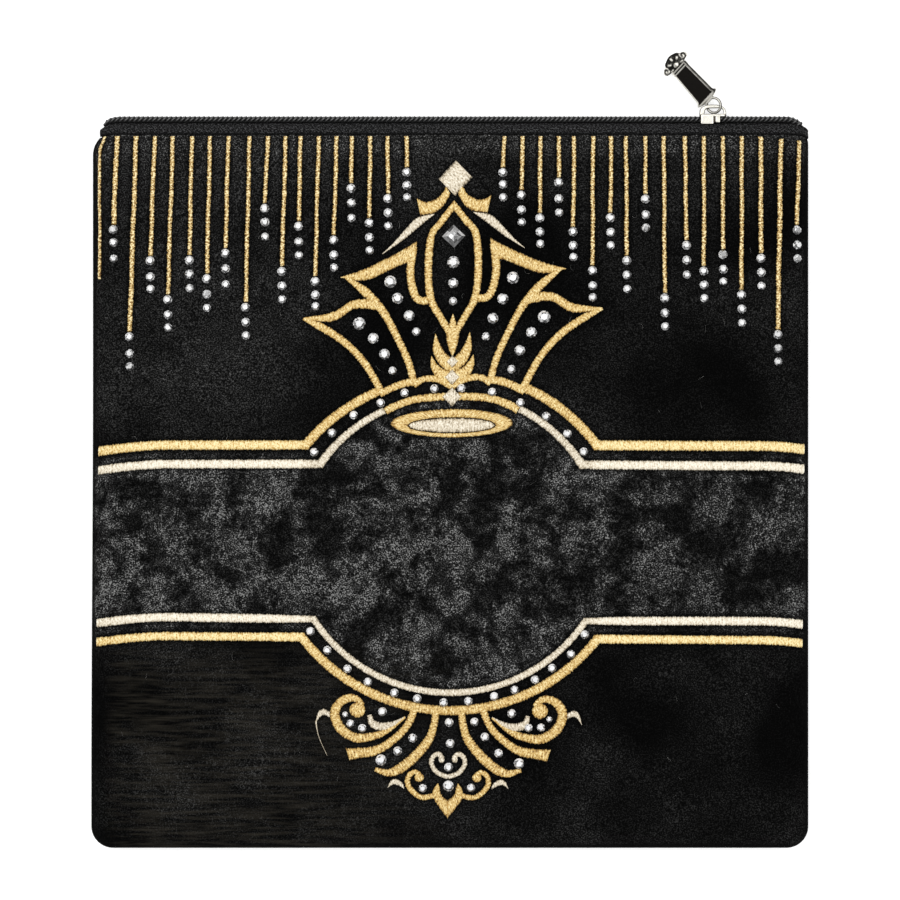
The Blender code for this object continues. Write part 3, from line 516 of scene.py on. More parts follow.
def sampled(field, x, y):
    """The field's value at places on the bag, read between its four nearest cells."""
    u = np.clip((x - FIELD_LOW[0]) / CELL, 0, FIELD_SHAPE[1] - 1.001)
    v = np.clip((y - FIELD_LOW[1]) / CELL, 0, FIELD_SHAPE[0] - 1.001)
    i, j = u.astype(int), v.astype(int)
    u, v = u - i, v - j
    return ((1 - v) * ((1 - u) * field[j, i] + u * field[j, i + 1])
            + v * ((1 - u) * field[j + 1, i] + u * field[j + 1, i + 1]))


def swell(x, y):
    """Parabola in both directions, nothing at the edges and SWELL in the middle."""
    across = np.clip(1 - (x / HALF_WIDTH) ** 2, 0, 1)
    along = np.clip(1 - ((y - MIDDLE_Y) / HALF_DEPTH) ** 2, 0, 1)
    return SWELL * across * along


def side_push(x, y):
    """How far the sides stand out of true, along X.

    Both stand out, the left one more and more towards the bottom, and the top left corner is cut inwards.
    """
    return (0.6 * smooth_step(x, 150, 179) - 0.8 * smooth_step(-x, 150, 179) * smooth_step(-y, -60, 150)
            + 3.6 * smooth_step(-x, 160, 179) * smooth_step(y, 168, 180) ** 1.3)


def pillow(across, along, inset=0.0, back=False):
    """Grid of points, rows along Y: flat middle, quarter circles at the sides and rounded corners."""
    flat_x, turn_x = np.array(across).T
    flat_y, turn_y = np.array(along).T
    radius = EDGE - inset
    s, t = np.sin(turn_x)[None, :], np.sin(turn_y)[:, None]
    x = flat_x[None, :] + radius * s * np.sqrt(1 - t * t / 2)
    y = MIDDLE_Y + flat_y[:, None] + radius * t * np.sqrt(1 - s * s / 2)
    height = np.cos(turn_x)[None, :] * np.cos(turn_y)[:, None]
    if back:
        z = BACK_RIM_Z - (BACK_EDGE - inset) * height
    else:
        z = FRONT_RIM_Z + radius * height + swell(x, y)
    return np.stack([x + side_push(x, y), y, z], axis=-1)


def stations(flat, cells, low_turn, high_turn, turns):
    """Places across the bag, each a flat distance and an angle round the edge, in order."""
    low = [(-flat, low_turn * (1 - k / turns)) for k in range(turns)] if low_turn < 0 else []
    middle = [(-flat + 2 * flat * k / cells, 0.0) for k in range(cells + 1)]
    high = [(flat, high_turn * (k + 1) / turns) for k in range(turns)] if high_turn > 0 else []
    return low + middle + high


def front_height(x, y):
    """Height of the smooth front over a place in the plan, its round edges included."""
    x = x - side_push(x, y)
    s = np.clip((np.abs(x) - FLAT_X) / EDGE, 0, 0.999)
    t = np.clip((np.abs(y - MIDDLE_Y) - FLAT_Y) / EDGE, 0, 0.999)
    return FRONT_RIM_Z + EDGE * np.sqrt((1 - s * s) * (1 - t * t)) + swell(x, y)


def inside_fade(x, y):
    """One over the flat of the front, falling to nothing towards the rounded sides."""
    from_side = HALF_WIDTH - 3 - np.abs(x)
    from_end = HALF_DEPTH - 4 - np.abs(y - MIDDLE_Y)
    return smooth_step(from_side, 0, 12) * smooth_step(from_end, 0, 10)


def velvet_height(x, y, relief):
    """The smooth front with its relief, which fades out towards the sides."""
    return front_height(x, y) + sampled(relief, x, y) * inside_fade(x, y)


def velvet_slopes(x, y, relief, step):
    """How steeply the velvet rises along X and along Y, from a step before each place to a step past it."""
    rise_x = (velvet_height(x + step, y, relief) - velvet_height(x - step, y, relief)) / (2 * step)
    rise_y = (velvet_height(x, y + step, relief) - velvet_height(x, y - step, relief)) / (2 * step)
    return rise_x, rise_y


def lifted(plan, lift, relief):
    """Points raised from the velvet along its normal; plan is (..., 2) and lift is (...)."""
    x, y = plan[..., 0], plan[..., 1]
    rise_x, rise_y = velvet_slopes(x, y, relief, 0.5)
    normal = np.stack([-rise_x, -rise_y, np.ones_like(x)], axis=-1)
    normal /= np.linalg.norm(normal, axis=-1, keepdims=True)
    return np.stack([x, y, velvet_height(x, y, relief)], axis=-1) + normal * lift[..., None]


# The drawing: lines and shapes in its own even plan, out from the middle and up

ASIDE, ASKEW = 0.5, 0.0105          # the drawing's middle line: how far to the right, and how far it leans
# The wide band's two cream lines: how far up each runs, its bow's middle and radius, and where the bow starts
UPPER_LINE, UPPER_BOW, UPPER_RADIUS, UPPER_REACH = 12.5, -30.95, 78.7, 65.4
LOWER_LINE, LOWER_BOW, LOWER_RADIUS, LOWER_REACH = -64.6, -19.6, 81.8, 68.0


def droop(x, up):
    """How far the bands hang down: curling near both sides, and tilted a little down to the right."""
    curl = 3.4 * np.clip((-x - 142) / 35, 0, 1) ** 1.6 + 1.5 * np.clip((x - 156) / 20, 0, 1) ** 2
    tilt = (0.004 + 0.003 * smooth_step(-up, 0, 60)) * x * smooth_step(-up, -40, 0)
    return curl * smooth_step(-up, -60, -25) + tilt


def on_bag(points, side):
    """From the even drawing to the bag: its hooping pulled the drawing a little askew."""
    out, up = np.asarray(points, float).T
    x = side * out + ASIDE + ASKEW * up
    y = up + 2.6 * np.sin(math.pi * x / 180) * smooth_step(up, 20, 80)
    return np.stack([x, y - droop(x, up)], axis=-1)


def smooth_line(points, steps=6):
    """Catmull-Rom curve through given points."""
    points = np.asarray(points, float)
    if len(points) < 3:
        return points
    points = np.concatenate([2 * points[:1] - points[1:2], points, 2 * points[-1:] - points[-2:-1]])
    share = (np.arange(steps) / steps)[None, :, None]
    a, b, c, d = (points[k:len(points) - 3 + k, None] for k in range(4))
    curve = 0.5 * (2 * b + (c - a) * share + (2 * a - 5 * b + 4 * c - d) * share ** 2
                   + (3 * b - a - 3 * c + d) * share ** 3)
    return np.concatenate([curve.reshape(-1, 2), points[-2:-1]])


def arc(centre_up, radius, start_out, end_out, steps=26):
    """Points on a circle centred on the middle line, between two distances out; a minus radius hangs down."""
    turn = np.linspace(math.asin(start_out / abs(radius)), math.asin(end_out / abs(radius)), steps + 1)
    return np.stack([abs(radius) * np.sin(turn), centre_up + radius * np.cos(turn)], axis=-1)


def spaced(points, most):
    """The same line with points added so that none are further apart than most."""
    points = np.asarray(points, float)
    found = [points[:1]]
    for a, b in zip(points, points[1:]):
        count = max(1, int(np.ceil(np.linalg.norm(b - a) / most)))
        found.append(a + (b - a) * (np.arange(1, count + 1) / count)[:, None])
    return np.concatenate(found)


def run_along(line):
    """The distance along a line at each of its points."""
    return np.concatenate([[0], np.cumsum(np.linalg.norm(np.diff(line, axis=0), axis=1))])


def at_runs(line, run, at):
    """The points of a line at the distances at, where run is the distance at each of its own points."""
    return np.stack([np.interp(at, run, column) for column in line.T], axis=-1)


def stroke(line, widths, tip=None):
    """Two rails beside a line, mitred at its corners; tip is a pair of points that ends them."""
    line = np.asarray(line, float)
    leg = np.diff(line, axis=0)
    leg /= np.linalg.norm(leg, axis=1)[:, None]
    before, after = np.concatenate([leg[:1], leg]), np.concatenate([leg, leg[-1:]])
    bisector = before + after
    bisector /= np.linalg.norm(bisector, axis=1)[:, None]
    mitre = 1 / np.clip(np.sum(bisector * before, axis=1), 0.6, 1)
    run = run_along(line)
    width = np.interp(run / run[-1], np.linspace(0, 1, len(widths)), widths)
    reach = np.stack([-bisector[:, 1], bisector[:, 0]], axis=-1) * (width * mitre / 2)[:, None]
    left, right = line + reach, line - reach
    if tip is not None:
        left, right = np.concatenate([left, [tip[0]]]), np.concatenate([right, [tip[1]]])
    return left, right


def between(left, right):
    """Two rails from given points, each drawn smoothly and cut into the same number of steps."""
    found = []
    for rail in (left, right):
        rail = smooth_line(rail, 8)
        run = run_along(rail)
        found.append(at_runs(rail, run, np.linspace(0, run[-1], 41)))
    return tuple(found)


def rings(out, up, wide, high, hole_wide, hole_high, hole_up=None, steps=72):
    """Two rails round an oval and round its hole."""
    turn = full_turn(steps)
    hole_up = up if hole_up is None else hole_up
    return (np.stack([out + hole_wide * np.cos(turn), hole_up + hole_high * np.sin(turn)], axis=-1),
            np.stack([out + wide * np.cos(turn), up + high * np.sin(turn)], axis=-1))


def lens_shape(up, half_wide, half_high, power=1.0, out=0.0, steps=20):
    """Rails over and under a diamond (power 1) or an oval (power 0.5)."""
    along = np.linspace(-half_wide, half_wide, 2 * steps + 1)
    rise = half_high * (1 - np.abs(along / half_wide) ** (1 / power)) ** power
    return np.stack([out + along, up + rise], axis=-1), np.stack([out + along, up - rise], axis=-1)


def slanted_diamond(out, up, half_wide, half_high):
    """Rails along two opposite sides of a diamond, so that its stitches slant."""
    left, right = (out - half_wide, up), (out + half_wide, up)
    top, bottom = (out, up + half_high), (out, up - half_high)
    share = np.linspace(0, 1, 13)[:, None]
    left, right, top, bottom = (np.array(p) for p in (left, right, top, bottom))
    return left + (top - left) * share, bottom + (right - bottom) * share


SIDE_STATIONS = (176.6, 175.2, 174.0, 172.2, 170.2, 168.0, 135.0)


def side_run(up):
    """A band's straight stretch at one side, from the bag's edge to where its bow begins."""
    return np.array([(out, up) for out in SIDE_STATIONS])


def band(up, bow, widths):
    """Rails of a line that runs in level from the side and then follows its bow."""
    return stroke(spaced(np.concatenate([side_run(up), bow]), 4.0), widths)


LENS = stroke(smooth_line([(0.0, 76.0), (5.8, 86.0), (10.9, 95.5), (12.5, 110.0), (11.2, 127.2), (6.5, 134.0),
                           (1.4, 140.6)]), (3.5, 3.9, 4.0, 3.4), tip=((0.0, 139.6), (0.0, 145.0)))
HOOK = stroke(smooth_line([(12.5, 95.2), (17.0, 95.7), (19.8, 100.0), (21.5, 110.0), (19.9, 122.6)]),
              (4.0, 4.2, 3.9))
UPPER_BEAM = between([(18.3, 125.2), (30.0, 118.9), (44.0, 112.6), (56.6, 108.6)],
                     [(19.6, 113.6), (25.2, 113.9), (43.4, 106.6), (56.2, 108.2)])
LOWER_BEAM = stroke(smooth_line([(53.6, 108.4), (43.0, 100.0), (34.5, 90.0), (26.8, 75.5), (21.9, 64.5),
                                 (18.8, 53.4)]), (1.8, 4.6, 4.3, 3.9, 3.7, 3.7, 3.7))
ARCH = between([(37.2, 95.0), (41.3, 97.0), (50.3, 96.8), (60.5, 91.2), (74.9, 88.8)],
               [(35.8, 90.4), (41.0, 91.9), (49.8, 92.2), (59.5, 86.6), (74.6, 87.4)])
OUTER_BEAM = stroke(smooth_line([(74.9, 88.2), (64.0, 82.8), (53.0, 75.0), (43.6, 64.5), (34.9, 49.3)]),
                    (1.4, 4.1, 4.1, 3.9, 3.8, 3.8, 3.8))
BASE_UPPER = stroke(smooth_line([(36.2, 48.7), (29.4, 52.0), (23.4, 54.0), (18.0, 54.6)]), (4.0,))
SCALLOP = stroke(smooth_line([(19.3, 52.8), (15.0, 55.6), (10.6, 56.0), (5.5, 54.7), (0.0, 51.4)]), (3.4,))
BASE_LOWER = stroke(smooth_line([(33.2, 39.7), (29.0, 42.0), (19.1, 45.5), (5.9, 46.7), (0.0, 46.7)]),
                    (4.2, 4.0, 4.0))
BUD = between([(-0.2, 88.0), (-2.5, 81.0), (-3.3, 76.8), (-2.2, 71.5), (-0.3, 66.8)],
              [(0.2, 88.0), (2.5, 81.0), (3.3, 76.8), (2.2, 71.5), (0.3, 66.8)])
BUD_STEM = between([(-1.5, 66.0), (-1.6, 61.0), (-1.5, 56.0), (-1.2, 50.5)],
                   [(1.5, 66.0), (1.6, 61.0), (1.5, 56.0), (1.2, 50.5)])
UPPER_LEAF = between([(2.0, 58.8), (7.0, 63.6), (9.9, 70.5), (8.7, 78.6)],
                     [(0.2, 66.0), (3.3, 68.6), (5.6, 72.0), (8.4, 78.3)])
LOWER_LEAF = between([(2.2, 52.4), (8.6, 57.0), (11.0, 62.4), (10.6, 67.4)],
                     [(0.2, 59.2), (4.6, 61.0), (7.8, 63.6), (10.3, 67.2)])
HORN = between([(4.0, 151.9), (7.2, 147.4), (11.5, 145.0), (14.8, 144.9), (18.7, 146.6)],
               [(1.9, 148.2), (3.8, 144.2), (6.6, 140.8), (11.0, 138.6), (16.8, 138.0)])
WING = between([(9.7, 138.6), (18.2, 137.0), (24.2, 131.5), (30.0, 125.0), (35.7, 119.6)],
               [(9.9, 138.0), (17.9, 131.8), (25.5, 125.8), (35.5, 119.4)])
CROWN_RING = rings(0, 33.4, 30.5, 7.15, 21.8, 3.9, hole_up=32.3)
CROWN_OVAL = lens_shape(32.3, 21.5, 3.7, power=0.5)
GEMS = (("crown_gem_1", 64.2, 2.9, 3.2), ("crown_gem_2", 56.4, 3.7, 4.0), ("crown_gem_3", 46.6, 4.9, 5.0))

GOLD_UPPER = band(22.25, arc(-34.7, 92.5, 72.75, 36.6), (5.0,))
CREAM_UPPER = band(UPPER_LINE, arc(UPPER_BOW, UPPER_RADIUS, UPPER_REACH, 33.8), (4.6,) * 7 + (4.3, 3.7, 3.7))
CREAM_LOWER = band(LOWER_LINE, arc(LOWER_BOW, -LOWER_RADIUS, LOWER_REACH, 0.0, 34),
                   (4.5,) * 10 + (4.2, 3.7) + (3.5,) * 9)
GOLD_LOWER = band(-74.1, arc(-16.95, -93.4, 73.9, 0.0, 38), (4.4, 4.4, 4.4, 4.8, 4.9, 4.9))
SCROLL = stroke(smooth_line([(42.9, -107.9), (45.3, -105.3), (49.4, -104.3), (54.4, -106.7), (57.0, -112.3),
                             (54.0, -119.6), (46.6, -124.2), (38.5, -123.6), (31.4, -121.0), (21.7, -113.8)]),
                (2.4, 4.2, 4.8, 5.2, 5.1, 4.7, 3.8, 2.7, 1.2))
SCROLL_BALL = lens_shape(-110.3, 4.0, 4.0, 0.5, out=45.7)
PALM_HOOK = between([(59.3, -111.4), (62.6, -109.8), (65.4, -111.8), (66.7, -117.2)],
                    [(59.5, -114.2), (62.2, -113.2), (64.0, -113.8), (66.5, -117.0)])
PALM_TAIL = stroke(smooth_line([(66.4, -115.8), (65.9, -119.5), (64.4, -125.0), (60.6, -133.2)]),
                   (0.9, 0.4, 0.28, 0.22))
CRESCENT = stroke(smooth_line([(21.7, -113.6), (27.5, -117.2), (33.3, -118.6), (38.1, -117.0),
                               (39.7, -112.8)]), (0.6, 2.6, 4.2, 4.3, 2.2))
LEAF_A = stroke(smooth_line([(17.0, -109.5), (19.8, -116.5), (25.0, -123.0), (35.2, -130.2), (47.0, -132.2)]),
                (3.7, 3.8, 4.5, 5.6), tip=((51.3, -129.4), (49.4, -135.6)))
LEAF_B = stroke(smooth_line([(6.4, -109.5), (7.2, -117.0), (10.2, -125.6), (19.7, -136.3), (28.8, -141.6),
                             (36.6, -140.0)]), (3.5, 4.2, 5.2, 5.3, 2.2))
SMALL_SPIRAL = stroke(smooth_line([(14.2, -142.4), (16.8, -141.2), (19.8, -143.6), (19.6, -148.6),
                                   (13.5, -153.8), (5.5, -152.6)]), (2.5, 2.8, 2.8, 2.9))
SPIRAL_BALL = lens_shape(-143.9, 2.4, 2.4, 0.5, out=14.4, steps=10)
LYRE_BALL = lens_shape(-134.8, 1.5, 1.8, 0.5, out=3.3, steps=8)
FLEUR = between([(0.0, -155.2), (2.2, -153.6), (3.7, -151.0), (4.0, -148.8), (4.9, -146.8)],
                [(0.0, -164.4), (2.0, -161.9), (5.2, -157.8), (7.7, -153.4), (7.2, -149.6), (5.1, -146.8)])
SPRIG = between([(21.9, -148.4), (23.2, -146.2), (26.3, -144.7), (28.8, -145.8), (30.3, -149.4)],
                [(22.0, -149.8), (24.0, -148.5), (26.3, -147.6), (28.2, -147.9), (30.2, -149.3)])
LYRE = stroke(smooth_line([(2.8, -134.2), (5.0, -132.1), (7.6, -133.6), (8.3, -137.2), (5.3, -141.5),
                           (0.0, -143.6)]), (2.7, 2.5, 2.5))


# Satin stitch

def satin_plan(rails, closed=False, slant=0.0, ragged=0.1):
    """Plan of a satin line: stations three to a stitch between two rails, seven places across.

    A place is the middle of the rails plus its share of half their distance. Each stitch has its own tone
    and reach from one random number. Its number grows along the line, sooner on the slanted side.
    """
    left, right = rails
    if closed:
        left, right = np.concatenate([left, left[:1]]), np.concatenate([right, right[:1]])
    middle = (left + right) / 2
    run = run_along(middle)
    outer_run = max(run[-1], np.linalg.norm(np.diff(right, axis=0), axis=1).sum() * 0.8)
    count = max(8, int(outer_run / STITCH) * SAMPLES_PER_STITCH)
    at = np.linspace(0, run[-1], count, endpoint=not closed)
    left, right = at_runs(left, run, at), at_runs(right, run, at)
    middle, half = (left + right) / 2, (right - left) / 2
    heading = np.gradient(middle, axis=0)
    turned = np.sum(half[:, 0] * heading[:, 1] - half[:, 1] * heading[:, 0])
    if turned < 0:
        half = -half
    width = 2 * np.linalg.norm(half, axis=1)
    shifted = at[:, None] + slant * width[:, None] * ACROSS / 2
    steps = STITCH * CHANCE.uniform(0.55, 1.45, int(run[-1] / STITCH * 1.3) + 60)
    starts = np.cumsum(steps) - 15 * STITCH
    phase = np.interp(shifted, starts, np.arange(len(starts)))
    number = np.floor(phase).astype(int)
    tone = CHANCE.random(len(starts) + 1)[number]
    ridge = 0.5 - 0.5 * np.cos(2 * np.pi * phase)
    reach = 1 + np.minimum(ragged, 0.45 / width)[:, None] * (tone - 0.5) * 2
    plan = middle[:, None] + half[:, None] * (ACROSS[None, :] * reach)[..., None]
    if closed:
        ends = np.ones(count)
    else:
        near = np.minimum(at, run[-1] - at)
        ends = np.sqrt(np.clip((near + 0.15) / 0.9, 0.05, 1))
    along = np.broadcast_to(at[:, None], tone.shape)
    across = np.broadcast_to(ACROSS[None, :] * width[:, None] / 2, tone.shape)
    return dict(plan=plan, width=width, ridge=ridge, tone=tone, ends=ends, along=along, across=across,
                closed=closed)


def satin_mesh(drawn, relief, base=THREAD_LOW, high=None):
    """A satin line's points, faces and looks: a flat-topped dome with a ridge for each stitch.

    The dome is as high as high says, or higher where the line is wider. The looks are the distances along and
    across the line, which lay out its cloth, and its tone: each stitch's own, with painted shade in the
    grooves between stitches and at both edges, a painted sheen where the bands run straight and level,
    and a little darker towards the bottom.
    """
    dome = (1 - np.abs(ACROSS) ** 2.6) ** 0.55
    width = drawn["width"]
    rise = np.clip(0.35 + 0.2 * width, 0.3, 1.15) if high is None else np.full(len(width), high)
    thread = 0.06 * drawn["ridge"] + 0.05 * (drawn["tone"] - 0.5)
    lift = base + dome[None, :] * (rise[:, None] + thread) * drawn["ends"][:, None]
    points = lifted(drawn["plan"], lift, relief)
    rows, columns = lift.shape
    faces = capped_faces(rows, columns, drawn["closed"])
    x, y = drawn["plan"][..., 0], drawn["plan"][..., 1]
    straight = smooth_step(np.abs(x), 69, 76) * smooth_step(-np.abs(y + 26), -60, -54)
    # painted shade: darker in the grooves between stitches and towards both edges of the line
    tone = 0.50 + 0.16 * drawn["tone"] + 0.12 * drawn["ridge"] - 0.62 * np.abs(ACROSS) ** 4
    # painted sheen where the bands run straight and level, less at the far left
    tone = tone + 0.38 * straight - 0.28 * straight * smooth_step(-x, 150, 178)
    tone = tone - 0.1 * smooth_step(-y, 98, 108)
    extra = np.stack([drawn["along"], drawn["across"], tone], axis=-1).reshape(-1, 3)
    return points.reshape(-1, 3), faces, extra


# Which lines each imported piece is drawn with: its rails, its side (-1 left, 1 right) and its stitches' slant

def drawings():
    """Every embroidered node with its thread and its drawn satin lines."""
    both = (-1, 1)
    crown = [(LENS, 0.2), (HOOK, 0.2), (UPPER_BEAM, 0.55), (LOWER_BEAM, 0.1), (ARCH, 0.4), (OUTER_BEAM, 0.1),
             (BASE_UPPER, 0.1), (SCALLOP, 0.1), (UPPER_LEAF, 0.5), (LOWER_LEAF, 0.5)]
    leaves = [(GOLD_LOWER, 0.1), (LEAF_A, 0.4), (LEAF_B, 0.4)]
    fleur = [(SMALL_SPIRAL, 0.1), (SPIRAL_BALL, 0), (FLEUR, 0.3)]
    rows = [("crown_frame", "gold", [(rails, side, slant) for rails, slant in crown for side in both]
             + [(BUD, 1, 0.3), (BUD_STEM, 1, 0.3)]),
            ("crown_band_lower", "gold", [(BASE_LOWER, side, 0.1) for side in both]),
            ("crown_ring", "gold", [(CROWN_RING, 1, 0.15)]),
            ("crown_oval", "cream", [(CROWN_OVAL, 1, 0.05)]),
            ("crown_diamond", "cream", [(slanted_diamond(0.6, 155.9, 8.5, 9.0), 1, 0.0)]),
            ("border_cream_lower", "cream", [(CREAM_LOWER, side, 0.1) for side in both]),
            ("border_gold_lower", "gold", [(rails, side, slant) for side in both for rails, slant in leaves]),
            ("palmette_fleur", "gold", [(rails, side, slant) for side in both for rails, slant in fleur]),
            ("palmette_lyre", "cream", [(rails, side, 0.1) for side in both for rails in (LYRE, LYRE_BALL)])]
    for side, word in ((-1, "left"), (1, "right")):
        rows += [(f"crown_horn_{word}", "gold", [(HORN, side, 0.2)]),
                 (f"crown_wing_{word}", "cream", [(WING, side, 0.5)]),
                 (f"border_gold_upper_{word}", "gold", [(GOLD_UPPER, side, 0.1)]),
                 (f"border_cream_upper_{word}", "cream", [(CREAM_UPPER, side, 0.1)]),
                 (f"palmette_scroll_{word}", "gold", [(SCROLL, side, 0.1), (SCROLL_BALL, side, 0)]),
                 (f"palmette_hook_{word}", "cream", [(PALM_HOOK, side, 0.2)]
                  + [(PALM_TAIL, side, 0.2)] * (side < 0)),
                 (f"palmette_crescent_{word}", "cream", [(CRESCENT, side, 0.5)]),
                 (f"palmette_sprig_{word}", "cream", [(SPRIG, side, 0.3)])]
    return rows


CLOSED_SHAPES = (CROWN_RING,)

# Where each stripe hangs: its X at the seam and at its stones, how high its first stone is, and how far
# the other two are below that
STRIPES = ((-166.7, -168.3, 130.2, 6.4, 14.4), (-157.1, -160.3, 76.6, 8.4, 14.8),
           (-147.8, -149.9, 114.6, 8.0, 14.0), (-138.7, -141.1, 95.2, 7.6, 14.0),
           (-129.2, -130.3, 114.9, 7.0, 14.0), (-120.1, -121.6, 105.6, 7.7, 14.6),
           (-110.9, -112.3, 118.3, 7.6, 15.5), (-100.3, -102.2, 91.3, 7.4, 14.1),
           (-91.2, -92.6, 140.8, 6.8, 14.2), (-82.2, -84.1, 109.3, 7.2, 13.9),
           (-74.8, -75.7, 131.9, 7.8, 14.5), (-65.7, -67.4, 104.3, 6.8, 12.4),
           (-56.7, -58.1, 125.0, 7.5, 13.7), (-49.1, -49.4, 150.9, 7.4, 14.9),
           (-40.0, -40.3, 133.5, 7.2, 13.7), (-31.2, -31.0, 145.7, 7.1, 13.7),
           (-21.8, -21.6, 158.8, 6.5, 12.5), (27.2, 26.5, 158.7, 6.0, 12.4),
           (36.4, 35.7, 147.4, 7.3, 13.4), (45.3, 45.0, 136.0, 6.9, 12.9), (54.5, 54.4, 153.7, 8.0, 14.9),
           (62.2, 61.6, 129.1, 6.8, 12.6), (71.6, 71.3, 109.7, 7.6, 13.4), (80.7, 80.3, 136.1, 7.2, 13.7),
           (88.1, 88.5, 114.7, 7.2, 14.2), (97.7, 97.9, 145.6, 7.9, 14.4),
           (107.0, 107.5, 96.0, 7.5, 14.2), (117.5, 118.4, 122.4, 7.4, 14.7),
           (127.1, 127.1, 109.5, 7.0, 13.6), (136.6, 136.7, 117.8, 7.4, 13.6),
           (146.1, 145.9, 97.6, 7.1, 14.1), (155.6, 155.7, 115.9, 7.0, 13.8),
           (165.7, 164.1, 77.7, 7.0, 13.5), (174.8, 173.6, 130.1, 7.5, 14.2))
STRIPE_TOP = 177.0
STRIPE_ENDS_ABOVE_STONE = 2.7
EDGE_STRIPE_X, EDGE_STRIPE_END = -175.4, 105.6


def wavering(middle, up, wide):
    """Two rails beside a hanging line, wandering a little as the fabric gives between stitches."""
    wander = 0.12 * np.sin(up / 7.3 + middle[0]) + 0.06 * np.sin(up / 3.1 + 3 * middle[0])
    left = np.stack([middle + wander - wide / 2, up], axis=-1)
    right = np.stack([middle + wander + wide / 2, up], axis=-1)
    return left, right


def stripe_rails(top_x, end_x, first_stone):
    """A stripe from the seam to its first stone, swinging from its own line by a fifth of a millimetre."""
    end = first_stone + STRIPE_ENDS_ABOVE_STONE
    top = STRIPE_TOP - 2.2 * smooth_step(top_x, 150, 178)
    up = np.linspace(top, end, max(8, int((top - end) / 2)))
    wide = 2.15 + 0.35 * smooth_step(abs(top_x), 140, 160) - 0.5 * (top_x > 170)
    return wavering(end_x + (top_x - end_x) * (up - end) / (top - end), up, wide)


def edge_stripe_rails():
    """The stripe at the bag's left edge, which has no stones under it."""
    up = np.linspace(STRIPE_TOP, EDGE_STRIPE_END, 38)
    return wavering(EDGE_STRIPE_X + 2.4 * smooth_step(up, 170, 177), up, 1.45)


def draw_everything():
    """Each node's thread and satin plans; the shapes are mapped on the bag, the stripes are drawn there."""
    found = []
    for node, thread, shapes in drawings():
        plans = []
        for rails, side, slant in shapes:
            closed = any(rails is shape for shape in CLOSED_SHAPES)
            plans.append(satin_plan(tuple(on_bag(rail, side) for rail in rails), closed, slant))
        found.append((node, thread, plans))
    for side, word in ((-1, "left"), (1, "right")):
        rails = [stripe_rails(*row[:3]) for row in STRIPES if row[0] * side > 0]
        if side < 0:
            rails.append(edge_stripe_rails())
        plans = [satin_plan(pair, slant=0.4, ragged=0.2) for pair in rails]
        found.append((f"stripes_{word}", "stripe", plans))
    gems = [(name, satin_plan(tuple(on_bag(rail, 1) for rail in lens_shape(up, wide, high)), slant=0.0))
            for name, up, wide, high in GEMS]
    return found, gems


def pressed_field(found):
    """One in every cell under a satin line, where stitches hold the velvet down, and nothing elsewhere."""
    held = np.zeros(FIELD_SHAPE)
    for _, _, plans in found:
        for drawn in plans:
            place = np.round((drawn["plan"].reshape(-1, 2) - FIELD_LOW) / CELL).astype(int)
            held[place[:, 1], place[:, 0]] = 1.0
    return held


def band_share(x, y, grow):
    """One inside the wide band and its medallion and nothing outside.

    They lie between two level lines that each have a bow, part of a circle, moved outwards by grow.
    """
    x_even = x - ASIDE - ASKEW * y
    y_even = y + droop(x, y)
    bow_up = UPPER_BOW + np.sqrt(np.clip(UPPER_RADIUS ** 2 - x_even ** 2, 0, None))
    bow_down = LOWER_BOW - np.sqrt(np.clip(LOWER_RADIUS ** 2 - x_even ** 2, 0, None))
    upper = np.where(np.abs(x_even) < UPPER_REACH, bow_up, UPPER_LINE) + grow
    lower = np.where(np.abs(x_even) < LOWER_REACH, bow_down, LOWER_LINE) - grow
    return smooth_step(upper - y_even, 0.5, 3.0) * smooth_step(y_even - lower, 0.5, 3.0)


# Velvet, tape and coils

def velvet_sheets(cells, back=False):
    """Both sides of a velvet panel: pillows WALL apart, with that many cells each way in their middle."""
    sides = stations(FLAT_X, cells, -QUARTER, QUARTER, 12)
    length = stations(FLAT_Y, cells, -QUARTER, SEAM_TURN, 12)
    return pillow(sides, length, back=back), pillow(sides, length, WALL, back=back)


def front_marks(x, y, held):
    """How pale, blotchy, held down and shaded, and streaked the front is, from soft steps across and along it.

    The band is palest, and paler still near both sides, where a sheen strip is painted; its surroundings are
    a little paler to the upper left and under the zip. Along the stitches the pile is held down and painted
    shade outlines them, and the rolled sides are darkened with painted shade.
    """
    beside = 0.62 * band_share(x, y, 7.5) * smooth_step(np.abs(x), 60, 78)
    share = np.maximum(band_share(x, y, 0.0), beside)
    left_hand = smooth_step(-x, 20, 110)
    lower_left = smooth_step(-y, 70, 95) * smooth_step(-x, -20, 90)
    upper_right = smooth_step(x, 20, 110) * smooth_step(y, 20, 60) * smooth_step(-y, -160, -120)
    haze = 0.52 * smooth_step(y, 163, 173) + 0.12 * smooth_step(y, 125, 165)
    rest = 0.13 + 0.18 * left_hand * smooth_step(y, 20, 60) - 0.035 * lower_left - 0.03 * upper_right + haze
    rest = rest + 0.07 * sampled(soft_waves(12.0), x, y)
    blotchy = 0.30 + 0.70 * smooth_step(share, 0, 1) + 0.2 * lower_left - 0.10 * smooth_step(y, 150, 165)
    dimmer_right = 1 - 0.34 * smooth_step(x, 40, 150)
    # the band is paler towards both sides: a painted sheen strip
    share = 0.69 * share * dimmer_right * (1 + 0.25 * smooth_step(np.abs(x), 164, 172))
    paler = np.clip(rest, 0.03, 0.7) * (1 - np.clip(share, 0, 1)) + share
    streak = 0.32 * lower_left * smooth_step(175 - np.abs(x), 0, 10)
    # rim is painted shade over the rolled sides; near the stitches the pile is held down and painted shade
    # outlines them
    rim = np.maximum(smooth_step(np.abs(x - side_push(x, y)), 176.6, 178.2), smooth_step(-y, 176.8, 178.6))
    pressed_shade = np.clip(np.maximum(1.15 * sampled(blurred(held, 0.7), x, y), 0.85 * rim), 0, 0.97)
    return paler, blotchy, pressed_shade, streak


